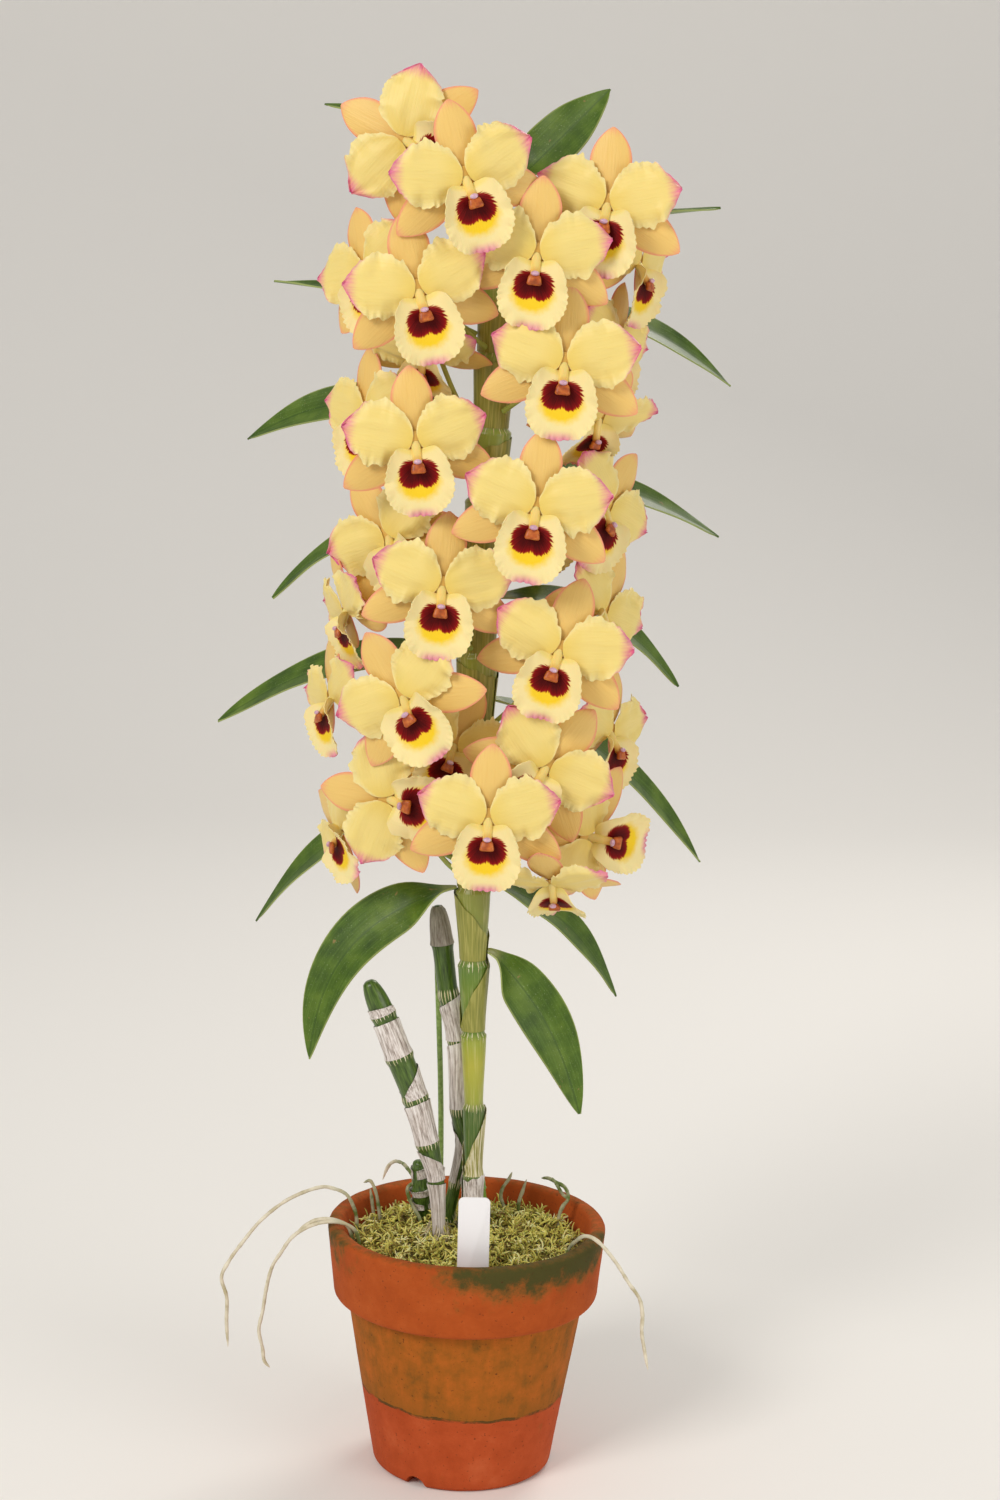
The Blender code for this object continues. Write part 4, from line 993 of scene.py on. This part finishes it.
for number, numbers in enumerate(LEAVES, 1):
    leaf = blade(16, 48, leaf_shape(*numbers), to_both_ends, LEAF_THICKNESS)
    piece(f"leaf_blade_{number:02d}", leaf, "leaf", [leaf_green], f"leaf_{number:02d}")


# ---- The blooms
# Thirty-one flowers on short green stalks from the upper joints. Each has three golden sepals, two broad
# ruffled petals with magenta tips, and a round frilled lip with a maroon eye under the white column.

DORSAL_LENGTH = 35
SEPAL_LENGTH = 42
SEPAL_WIDTH = 20
PETAL_LENGTH = 36
PETAL_WIDTH = 31
PETAL_ANGLE = 72
LATERAL_ANGLE = 119
LIP_LENGTH = 36
LIP_WIDTH = 36
STALK_RADIUS = 1.3
SEPAL_THICKNESS = 0.5 * MM
PETAL_THICKNESS = 0.4 * MM
COLUMN_ROOT = Vector((0, 2, -2))  # these places are in mm in the bloom's own frame
COLUMN_END = Vector((0, -8, -11.5))
COLUMN_RADIUS = 2.4
CAP_PLACE = Vector((0, -10.2, -9.4))
CAP_RADII = Vector((2.1, 1.5, 1.3))
FACE_PLACE = Vector((0, -9.8, -12.8))
FACE_SIZE = Vector((7.8, 3, 5.2))
HUB_RADIUS = 4.6  # where the petals and sepals meet
BLUNT_TIP = 0.8  # half the width that a petal's outline keeps at its very tip
CRIMP = 3.0  # from one crimp of a petal's edge to the next

# the joint that the stalk leaves from, then across, up and towards the front from the pot's axis (mm), turn
# to the right, nod down, spin clockwise (degrees), and size
BLOOMS = (
    (15, -45, 705, 24, -8, 0, -62, 1.0),
    (14, -13, 688, 50, 12, 4, -16, 1.0),
    (13, 57, 677, 27, -6, 0, 4, 1.0),
    (13, 76, 648, -4, 60, 10, 10, 0.9),
    (12, -35, 633, 47, 8, 4, -14, 1.0),
    (12, -63, 640, 10, -38, 0, -26, 0.92),
    (11, -34, 600, 16, -16, 46, 0, 0.84),
    (13, 23, 652, 42, 0, 4, 5, 1.0),
    (11, 38, 599, 44, 0, 0, 3, 1.03),
    (11, 65, 605, -4, 55, 6, 20, 0.9),
    (10, 58, 569, 14, 26, 45, 10, 0.86),
    (10, -35, 558, 42, 4, 2, -6, 1.0),
    (10, -62, 568, 4, -46, 0, -10, 0.92),
    (9, 26, 528, 52, 0, 0, 7, 1.03),
    (9, 64, 523, 6, 45, 4, 40, 0.95),
    (9, 28, 513, -34, 132, 10, 25, 0.88),
    (8, -20, 486, 44, 4, 0, 5, 1.0),
    (9, -50, 507, 17, -24, 4, -36, 0.98),
    (8, -72, 467, 1, -64, 20, -20, 0.86),
    (7, 40, 455, 42, -4, 2, 15, 1.0),
    (8, 64, 470, 6, 48, 4, 36, 0.95),
    (8, -40, 429, 43, -16, 2, -38, 1.0),
    (7, -79, 420, -4, -60, 4, -20, 0.86),
    (6, 36, 394, 40, 4, 0, 39, 1.0),
    (6, -12, 401, 21, 6, 4, 22, 0.9),
    (5, 6, 371, 60, 0, 0, 1, 1.0),
    (5, -47, 372, 29, -10, 0, -86, 1.0),
    (5, -74, 348, -4, -60, 10, -60, 0.86),
    (5, 58, 352, 16, 34, 4, -82, 0.95),
    (5, 39, 333, 44, -6, 58, -8, 0.86),
    (6, 70, 404, -10, 52, 6, 10, 0.88),
)


def bloom_place(across, up, forward, turn, nod, spin):
    """Where a bloom stands: in its own frame the dorsal sepal points up and the lip towards -Y."""
    turned = Matrix.Rotation(math.radians(turn), 4, "Z") @ Matrix.Rotation(math.radians(nod), 4, "X")
    return Matrix.Translation(Vector((across, -forward, up)) * MM) @ turned @ Matrix.Rotation(
        math.radians(spin), 4, "Y")


def segment(angle, length, width, root, belly, lean, curl, cup, ruffle, phase):
    """middle(s, t) of a sepal or petal that points angle degrees clockwise from the top of the bloom. ruffle
    is how far its edge waves (mm), with finer crimps on a ruffled one. Its flat place ends at a sepal's
    length.
    """
    turn = math.radians(angle)
    outward = Vector((math.sin(turn), 0, math.cos(turn)))
    across = Vector((math.cos(turn), 0, -math.sin(turn)))
    peak, blunt, pointed = belly

    def middle(s, t):
        bow = math.sin(math.pi * t**peak) if 0 < t < 1 else 0
        belly_at = bow ** (blunt + pointed * ease((t - 0.7) / 0.3))
        half = max(width / 2 * (0.12 * (1 - t) + belly_at), BLUNT_TIP)
        edge = abs(s)
        side = math.copysign(3, s)
        run = t * length
        loose = min(1, 4 * t) * min(1, half / 6)
        shift = 1.5 * noise.noise(Vector((run / 9, side, phase + 4)))
        wave = 0.8 * ruffle * edge**2 * math.sin(5 * math.pi * t + s + shift) * t
        wave += 2.0 * ruffle * edge**2 * loose * noise.noise(Vector((run / 7.5, side, phase)))
        wave += ruffle * ease(3 * t) * (0.4 + edge) * noise.noise(Vector((s * 2.6, t * 1.6, phase + 30)))
        crimp = math.sin(math.tau * run / CRIMP + 4 * noise.noise(Vector((run / 6, side, phase + 9))))
        crimp *= 0.55 + 0.9 * noise.noise(Vector((run / 5, side, phase + 14)))
        wave += 0.7 * ruffle * edge**3 * loose * noise.noise(Vector((run / 3.2, side, phase + 50)))
        wave += 0.5 * ruffle * ease((edge - 0.76) / 0.24) * loose * crimp
        groove = 0.45 * math.exp(-((s / 0.1) ** 2)) * ease(3 * t) * (1 - t)
        back = root + length * (lean * t + curl * t * t) + cup * half * s * s + wave + groove
        nick = 0.1 * noise.noise(Vector((run / 4, side, phase + 20))) + 0.026 * crimp
        notched = 1 + ruffle * edge**4 * nick
        point = outward * (1.5 + run) + across * half * s * notched + Vector((0, back, 0))
        return point * MM, (half * s, run + SEPAL_LENGTH - length, edge)

    return middle


def lip_shape(phase):
    """middle(s, t) of the lip: it folds up round the column, then opens into a round limb with a frill."""
    steps = 24

    def bend(t):
        return math.radians(28 + 62 * ease(t / 0.42) + 22 * ease((t - 0.6) / 0.4))

    spine = [Vector((0, 1, -5))]
    for i in range(steps + 2):
        slope = bend((i + 0.5) / steps)
        spine.append(spine[-1] + Vector((0, -math.cos(slope), -math.sin(slope))) * LIP_LENGTH / steps)

    def middle(s, t):
        t += (1 - t) * 0.24 * abs(s) ** 3
        index = min(int(t * steps), steps)
        centre = spine[index].lerp(spine[index + 1], t * steps - index)
        slope = bend(t)
        inward = Vector((0, -math.sin(slope), math.cos(slope)))
        down = max(0, (t - 0.55) / 0.45)
        if t < 0.55:
            half = LIP_WIDTH / 2 * (0.78 + 0.22 * math.sin(math.pi / 2 * t / 0.55))
        else:
            half = max(LIP_WIDTH / 2 * math.sqrt(max(0, 1 - down**2)), BLUNT_TIP)
        wrap = 1.3 - 0.85 * ease(t / 0.5)
        rim = min(1, math.hypot(half * s / (LIP_WIDTH / 2), down) if t >= 0.55 else abs(s))
        round_it = math.atan2(half * s, t * LIP_LENGTH - 16)
        run = 18 * round_it
        crimp = math.sin(math.tau * run / CRIMP + 2 * noise.noise(Vector((run / 7, 4, phase))))
        frill = 2.2 * ease((rim - 0.6) / 0.4) * noise.noise(Vector((run / 6, 8, phase)))
        frill += 0.55 * ease((rim - 0.74) / 0.26) * crimp
        notched = 1 + 0.022 * rim**6 * crimp
        x = half / wrap * math.sin(s * wrap) * notched
        lift = half / wrap * (1 - math.cos(s * wrap)) + frill * ease(t / 0.2)
        point = centre + Vector((x, 0, 0)) + inward * lift
        return point * MM, (half * s, t * LIP_LENGTH, rim)

    return middle


def lip_rows(v):
    """Rows down the lip: even to its widest place, then even round its outline."""
    return 0.55 * v / 0.4 if v < 0.4 else 0.55 + 0.45 * math.sin(math.pi / 2 * (v - 0.4) / 0.6)


def to_petal_ends(v):
    """Rows of a petal: close enough all along for its crimps, and closer still at both ends."""
    return 0.55 * v + 0.45 * to_both_ends(v)


def petal_finish(name, root, body, rim, rim_from, blush, blush_from, streak):
    """A petal's skin: soft satin cells, veins along its length, and a blush at its tip."""
    made, tree = new_finish(name)
    flat = add(tree, "Attribute", attribute_name="flat").outputs["Vector"]
    apart = add(tree, "SeparateXYZ", {0: flat})
    veins = add(tree, "TexNoise", {"Vector": add(tree, "Mapping", {"Vector": flat, "Scale": (1.1, 0.06, 0)}),
                                   "Scale": 1, "Detail": 3})  # veins about 1 mm apart
    cloud = add(tree, "TexNoise", {"Vector": flat, "Scale": 0.22, "Detail": 3})
    along = add(tree, "MapRange", {0: apart.outputs["Y"], 1: 4, 2: 20}, interpolation_type="SMOOTHSTEP")
    shade = add(tree, "MixRGB", {0: along, 1: root, 2: body})
    shade = add(tree, "MixRGB", {0: add(tree, "MapRange", {0: apart.outputs["Z"], 1: rim_from, 2: 1}),
                                 1: shade, 2: rim})
    shade = add(tree, "MixRGB", {0: add(tree, "MapRange", {0: veins, 1: 0.5, 2: 0.8, 4: 0.35}),
                                 1: shade, 2: root})
    ragged = add(tree, "Math", {0: veins, 1: 5}, operation="MULTIPLY")
    reach = add(tree, "Math", {0: apart.outputs["Y"], 1: ragged}, operation="ADD")
    wide = add(tree, "Math", {0: apart.outputs["Z"], 1: 8}, operation="POWER")
    reach = add(tree, "Math", {0: wide, 1: 5, 2: reach}, operation="MULTIPLY_ADD")
    tip = add(tree, "MapRange", {0: reach, 1: blush_from, 2: blush_from + 8}, interpolation_type="SMOOTHSTEP")
    tip = add(tree, "Math", {0: tip, 1: add(tree, "MapRange", {0: cloud, 1: 0.2, 2: 0.6, 3: 0.55, 4: 1})},
              operation="MULTIPLY")
    shade = add(tree, "MixRGB", {0: tip, 1: shade, 2: blush})
    deep = add(tree, "MapRange", {0: reach, 1: blush_from + 8, 2: blush_from + 15, 4: 0.6})
    shade = add(tree, "MixRGB", {0: deep, 1: shade, 2: streak})
    cells = add(tree, "TexNoise", {"Vector": flat, "Scale": 2.6, "Detail": 2})
    skin = add(tree, "Bump", {"Height": cells, "Strength": 0.12, "Distance": 0.2 * MM})
    skin = add(tree, "Bump", {"Height": veins, "Strength": 0.5, "Distance": 0.5 * MM, "Normal": skin})
    add(tree, None, {"Base Color": shade, "Roughness": 0.5, "Normal": skin, "Subsurface Weight": 0.12,
                     "Subsurface Radius": (1.0, 0.7, 0.35), "Subsurface Scale": 1.2 * MM,
                     "Sheen Weight": 0.15})
    return made


petal_skin = petal_finish("ruffled_petal", "#E9CC66", "#EFD782", "#F2E09C", 0.7, "#E0619B", 36, "#C22F74")
sepal_skin = petal_finish("golden_sepal", "#E0B254", "#EBC570", "#EE8A74", 0.82, "#EC8B78", 39, "#E2707E")

# Lip: velvety in its maroon eye, yellow round it, cream at the frill and pink at the tip
lip_skin, tree = new_finish("velvet_lip")
flat = add(tree, "Attribute", attribute_name="flat").outputs["Vector"]
apart = add(tree, "SeparateXYZ", {0: flat})
mirrored = add(tree, "VectorMath", {0: flat}, operation="ABSOLUTE")
lobe = add(tree, "VectorMath", {0: mirrored, 1: (0, 14.2, 0)}, operation="SUBTRACT")
lobe = add(tree, "SeparateXYZ", {0: add(tree, "VectorMath", {0: lobe, 1: (1 / 10.2, 1 / 7.2, 0)},
                                        operation="MULTIPLY")})
lobe_x = add(tree, "Math", {0: lobe.outputs["X"], 1: 2.6}, operation="POWER")
lobe_y = add(tree, "Math", {0: add(tree, "Math", {0: lobe.outputs["Y"]}, operation="ABSOLUTE"), 1: 2.6},
             operation="POWER")
lobe = add(tree, "Math", {0: lobe_x, 1: lobe_y}, operation="ADD")
side = add(tree, "SeparateXYZ", {0: mirrored}).outputs["X"]
notch = add(tree, "MapRange", {0: side, 1: 4, 2: 0, 4: 0.45}, interpolation_type="SMOOTHSTEP")
low_half = add(tree, "MapRange", {0: apart.outputs["Y"], 1: 14, 2: 20}, interpolation_type="SMOOTHSTEP")
lobe = add(tree, "Math", {0: notch, 1: low_half, 2: lobe}, operation="MULTIPLY_ADD")
angle = add(tree, "Math", {0: apart.outputs["X"], 1: add(tree, "Math", {0: apart.outputs["Y"], 1: 8},
                                                       operation="SUBTRACT")}, operation="ARCTAN2")
rays = add(tree, "TexNoise", {"W": add(tree, "Math", {0: angle, 1: 13}, operation="MULTIPLY"), "Scale": 1,
                              "Detail": 2}, noise_dimensions="1D")
ragged = add(tree, "MapRange", {0: rays, 1: 0.3, 2: 0.7, 3: -0.2, 4: 0.2})
lobe = add(tree, "Math", {0: lobe, 1: ragged}, operation="ADD")
eye = add(tree, "MapRange", {0: lobe, 1: 1.12, 2: 0.86}, interpolation_type="SMOOTHSTEP")
throat = add(tree, "MapRange", {0: apart.outputs["Y"], 1: 5, 2: 3})
cloud = add(tree, "TexNoise", {"Vector": flat, "Scale": 0.35, "Detail": 3})
glow = add(tree, "VectorMath", {0: flat, 1: (0, 17.5, 0)}, operation="SUBTRACT")
glow = add(tree, "VectorMath", {0: glow, 1: (1 / 12.5, 1 / 11, 0)}, operation="MULTIPLY")
glow = add(tree, "VectorMath", {0: glow}, operation="LENGTH").outputs["Value"]
glow = add(tree, "Math", {0: glow, 1: add(tree, "MapRange", {0: cloud, 3: -0.15, 4: 0.15})}, operation="ADD")
margin = add(tree, "MapRange", {0: glow, 1: 0.66, 2: 1.08}, interpolation_type="SMOOTHSTEP")
shade = add(tree, "MixRGB", {0: margin, 1: "#F4CE2C", 2: "#F5E3A4"})
low_tip = add(tree, "MapRange", {0: apart.outputs["Y"], 1: 30, 2: 36}, interpolation_type="SMOOTHSTEP")
pinch = add(tree, "MapRange", {0: side, 1: 11, 2: 3, 4: 0.85}, interpolation_type="SMOOTHSTEP")
blush = add(tree, "Math", {0: low_tip, 1: pinch}, operation="MULTIPLY")
shade = add(tree, "MixRGB", {0: blush, 1: shade, 2: "#E27AA8"})
maroon = add(tree, "ValToRGB", {0: lobe}, stops=((0.1, "#4C0305"), (0.6, "#740709"), (1.0, "#A01613")))
shade = add(tree, "MixRGB", {0: eye, 1: shade, 2: maroon})
shade = add(tree, "MixRGB", {0: throat, 1: shade, 2: "#F3DF8A"})
veins = add(tree, "TexNoise", {"Vector": add(tree, "Mapping", {"Vector": flat, "Scale": (1.2, 0.1, 0)}),
                               "Scale": 1, "Detail": 3})
add(tree, None, {"Base Color": shade, "Roughness": 0.6, "Subsurface Weight": 0.1,
                 "Subsurface Scale": 0.8 * MM, "Specular IOR Level": 0.12,
                 "Normal": add(tree, "Bump", {"Height": veins, "Strength": 0.4, "Distance": 0.4 * MM})})


def waxy_flesh(name, clouds, stops, roughness, glow):
    """Firm waxy flesh that lets a little light in. Its colour changes in clouds of the given scale, or along
    its length where clouds is 0.
    """
    made, tree = new_finish(name)
    if clouds:
        place = add(tree, "TexNoise", {"Vector": add(tree, "TexCoord").outputs["Object"], "Scale": clouds})
    else:
        place = add(tree, "SeparateXYZ", {0: add(tree, "UVMap")}).outputs["Y"]
    add(tree, None, {"Base Color": add(tree, "ValToRGB", {0: place}, stops=stops), "Roughness": roughness,
                     "Subsurface Weight": glow, "Subsurface Scale": 1 * MM})
    return made


# Column: waxy, cream at its root and orange-brown at its end, the orange-brown partly its own colour and
# partly painted shade of the stigma hollow
column_wax = waxy_flesh("waxy_column", 0, (
    (0.0, "#EFD98A"), (0.6, "#EDD27C"), (0.85, "#DDA850"), (1.0, "#B86A2C")), 0.35, 0.2)

# The cap over the pollen: mauve and glossy, with 2 mm clouds
cap_wax = waxy_flesh("anther_cap", 500, ((0.3, "#BE8FAA"), (0.7, "#DDBBCD")), 0.3, 0.2)

# The column's front face: orange-brown and duller than the cap, its dark orange-brown partly painted shade of
# the stigma hollow
face_wax = waxy_flesh("column_face", 420, ((0.3, "#8E3F12"), (0.5, "#B4561C"), (0.7, "#C97229")), 0.4, 0.1)

# Stalk: smooth and waxy, pale green to yellow at the flower
stalk_wax = waxy_flesh("waxy_stalk", 0, ((0.0, "#8FA24A"), (0.6, "#C2BE62"), (1.0, "#E6CC76")), 0.42, 0.15)


def stalk_rows(start, heading, size):
    """Rows of the stalk in the bloom's frame, in a smooth bend from the cane to the neck of the flower."""
    neck = Vector((0, 9, -2)) * MM * size
    reach = (start - neck).length
    bend_a = start + heading * reach * 0.4
    bend_b = neck + Vector((0, 1, -0.25)) * reach * 0.4
    points = []
    for i in range(22):
        t = i / 21
        near = (1 - t) ** 3 * start + 3 * (1 - t) ** 2 * t * bend_a
        points.append(near + 3 * (1 - t) * t * t * bend_b + t**3 * neck)
    points += [neck.lerp(COLUMN_ROOT * MM * size, share) for share in (0.33, 0.66, 1)]
    radii = [(STALK_RADIUS + 0.8 * ease((i - 15) / 9) + 0.3 * math.exp(-((i / 1.2) ** 2))) * MM
             for i in range(len(points))]
    return frames_along(points, radii)


stalks_used = {}
for number, (joint, across, up, forward, turn, nod, spin, size) in enumerate(BLOOMS, 1):
    shuffle = random.Random(number)
    rank = stalks_used.get(joint, 0)
    stalks_used[joint] = rank + 1
    height = (JOINTS[joint] + 4 + 6 * rank) * MM
    heading = Vector((across, -forward - 14, 0)).normalized()
    start = main_cane_axis(height) + heading * (main_cane_radius(height) * 1.12 + 0.6 * MM)
    place = bloom_place(across, up, forward, turn, nod, spin)
    back = place.inverted()
    setting_off = back.to_3x3() @ (heading + Vector((0, 0, 0.5))).normalized()
    sized = Matrix.Scale(size, 4)
    parts = []
    for angle in (0, LATERAL_ANGLE, 360 - LATERAL_ANGLE):
        length = SEPAL_LENGTH if angle else DORSAL_LENGTH
        shape = segment(angle + shuffle.uniform(-3, 3), length, SEPAL_WIDTH, 2.2, (1.12, 0.68, 0),
                        0.03 + shuffle.uniform(-0.04, 0.04), 0.12, 0.15, 0.15, shuffle.uniform(0, 60))
        parts.append((blade(10, 20, shape, to_both_ends, SEPAL_THICKNESS), 1))
    for angle in (PETAL_ANGLE, 360 - PETAL_ANGLE):
        droop = math.copysign(2.5, 180 - angle)
        shape = segment(angle + droop, PETAL_LENGTH, PETAL_WIDTH, -0.6, (0.95, 0.7, 0.15), -0.06, 0.14, 0.12,
                        1.8, shuffle.uniform(0, 60))
        parts.append((blade(18, 52, shape, to_petal_ends, PETAL_THICKNESS), 0))
    parts.append((blade(34, 42, lip_shape(shuffle.uniform(0, 60)), lip_rows, PETAL_THICKNESS), 2))
    column_points = [COLUMN_ROOT.lerp(COLUMN_END, i / 12) * MM for i in range(13)]
    column_radii = [(COLUMN_RADIUS - 0.15 * i / 12) * (1 if i < 12 else 0.8) * MM for i in range(13)]
    parts.append((stem(frames_along(column_points, column_radii), 20), 3))
    cap = bmesh.new()
    bmesh.ops.create_uvsphere(cap, u_segments=16, v_segments=10, radius=1,
                              matrix=Matrix.Translation(CAP_PLACE * MM)
                              @ Matrix.Diagonal((*(CAP_RADII * MM), 1)))
    parts.append((cap, 4))
    face = bmesh.new()
    bmesh.ops.create_cube(face, size=1)
    bmesh.ops.scale(face, vec=FACE_SIZE * MM, verts=face.verts)
    bmesh.ops.scale(face, vec=(0.74, 1, 1), verts=[v for v in face.verts if v.co.z > 0])
    bmesh.ops.bevel(face, geom=face.edges[:], offset=1.3 * MM, segments=4, profile=0.5, affect="EDGES",
                    material=-1)
    bmesh.ops.transform(face, verts=face.verts, matrix=Matrix.Translation(FACE_PLACE * MM)
                        @ Matrix.Rotation(math.radians(-20), 4, "X"))
    parts.append((face, 6))
    hub = bmesh.new()
    bmesh.ops.create_uvsphere(hub, u_segments=20, v_segments=8, radius=HUB_RADIUS * MM,
                              matrix=Matrix.Translation((0, 1.4 * MM, 0)) @ Matrix.Diagonal((1, 0.2, 1, 1)))
    parts.append((hub, 1))
    for bm, _ in parts:
        bmesh.ops.transform(bm, matrix=sized, verts=bm.verts)
    parts.append((stem(stalk_rows(back @ start, setting_off, size), 14), 5))
    flower = joined(parts)
    bmesh.ops.transform(flower, matrix=place, verts=flower.verts)
    piece(f"flower_{number:02d}", flower, "petal",
          [petal_skin, sepal_skin, lip_skin, column_wax, cap_wax, stalk_wax, face_wax], f"bloom_{number:02d}")


# ---- The studio
# A pale floor, soft lamps to the left and right of the camera and a weak one behind, and the camera where the
# photographer's stood: one and a half metres off, at the height of the top flowers, looking down 11 degrees.


def sweep(across, along):
    """The paper sweep: flat to 1.6 m behind the pot, then curving up into a wall 2.6 m behind it."""
    run = 7 * along - 2.6
    over = max(0, run - 1.6)
    turn = min(over, math.pi / 2)
    up = 1 - math.cos(turn) + max(0, over - turn)
    return Vector((7 * across - 3.5, min(run, 1.6) + math.sin(turn), up))


floor = grid(4, 120, sweep)
bmesh.ops.recalc_face_normals(floor, faces=floor.faces)
floor_mesh = bpy.data.meshes.new("paper_sweep")
floor.to_mesh(floor_mesh)
floor.free()
floor_mesh.shade_smooth()
paper_white, tree = new_finish("pale_studio_paper")
add(tree, None, {"Base Color": "#F2F0ED", "Roughness": 0.9})
floor_mesh.materials.append(paper_white)
floor_object = bpy.data.objects.new("paper_sweep", floor_mesh)
bpy.context.scene.collection.objects.link(floor_object)

scene = bpy.context.scene
scene.view_settings.view_transform = "Standard"
world = bpy.data.worlds.new("studio")
scene.world = world
world.use_nodes = True
world.node_tree.nodes["Background"].inputs[0].default_value = colour("#F2F1EE")
world.node_tree.nodes["Background"].inputs[1].default_value = 0.46

MIDDLE = Vector((0, 0, 0.42))  # what the lamps point at
CAMERA_PLACE = Vector((11.1, -1500, 687.4)) * MM
LOOK_DOWN = 11.07
CAMERA_ROLL = 1.5
for name, place, size, power in (
    ("left_lamp", (-1.3, -1.7, 1.8), 0.9, 34), ("right_lamp", (1.7, -1.3, 0.9), 1.2, 13),
    ("back_lamp", (0.7, 1.3, 1.5), 0.7, 12),
):
    lamp = bpy.data.lights.new(name, "AREA")
    lamp.size = size
    lamp.energy = power
    lamp.color = colour("#FFFAF3")[:3]
    stand = bpy.data.objects.new(name, lamp)
    stand.location = place
    stand.rotation_euler = (MIDDLE - Vector(place)).to_track_quat("-Z", "Y").to_euler()
    scene.collection.objects.link(stand)

camera = bpy.data.cameras.new("camera")
camera.sensor_fit = "VERTICAL"
camera.sensor_height = 36
camera.lens = 70.2
tripod = bpy.data.objects.new("camera", camera)
tripod.matrix_world = (
    Matrix.Translation(CAMERA_PLACE + STAND)
    @ Matrix.Rotation(math.radians(90 - LOOK_DOWN), 4, "X")
    @ Matrix.Rotation(math.radians(CAMERA_ROLL), 4, "Z")
)
scene.collection.objects.link(tripod)
scene.camera = tripod

bpy.context.view_layer.update()
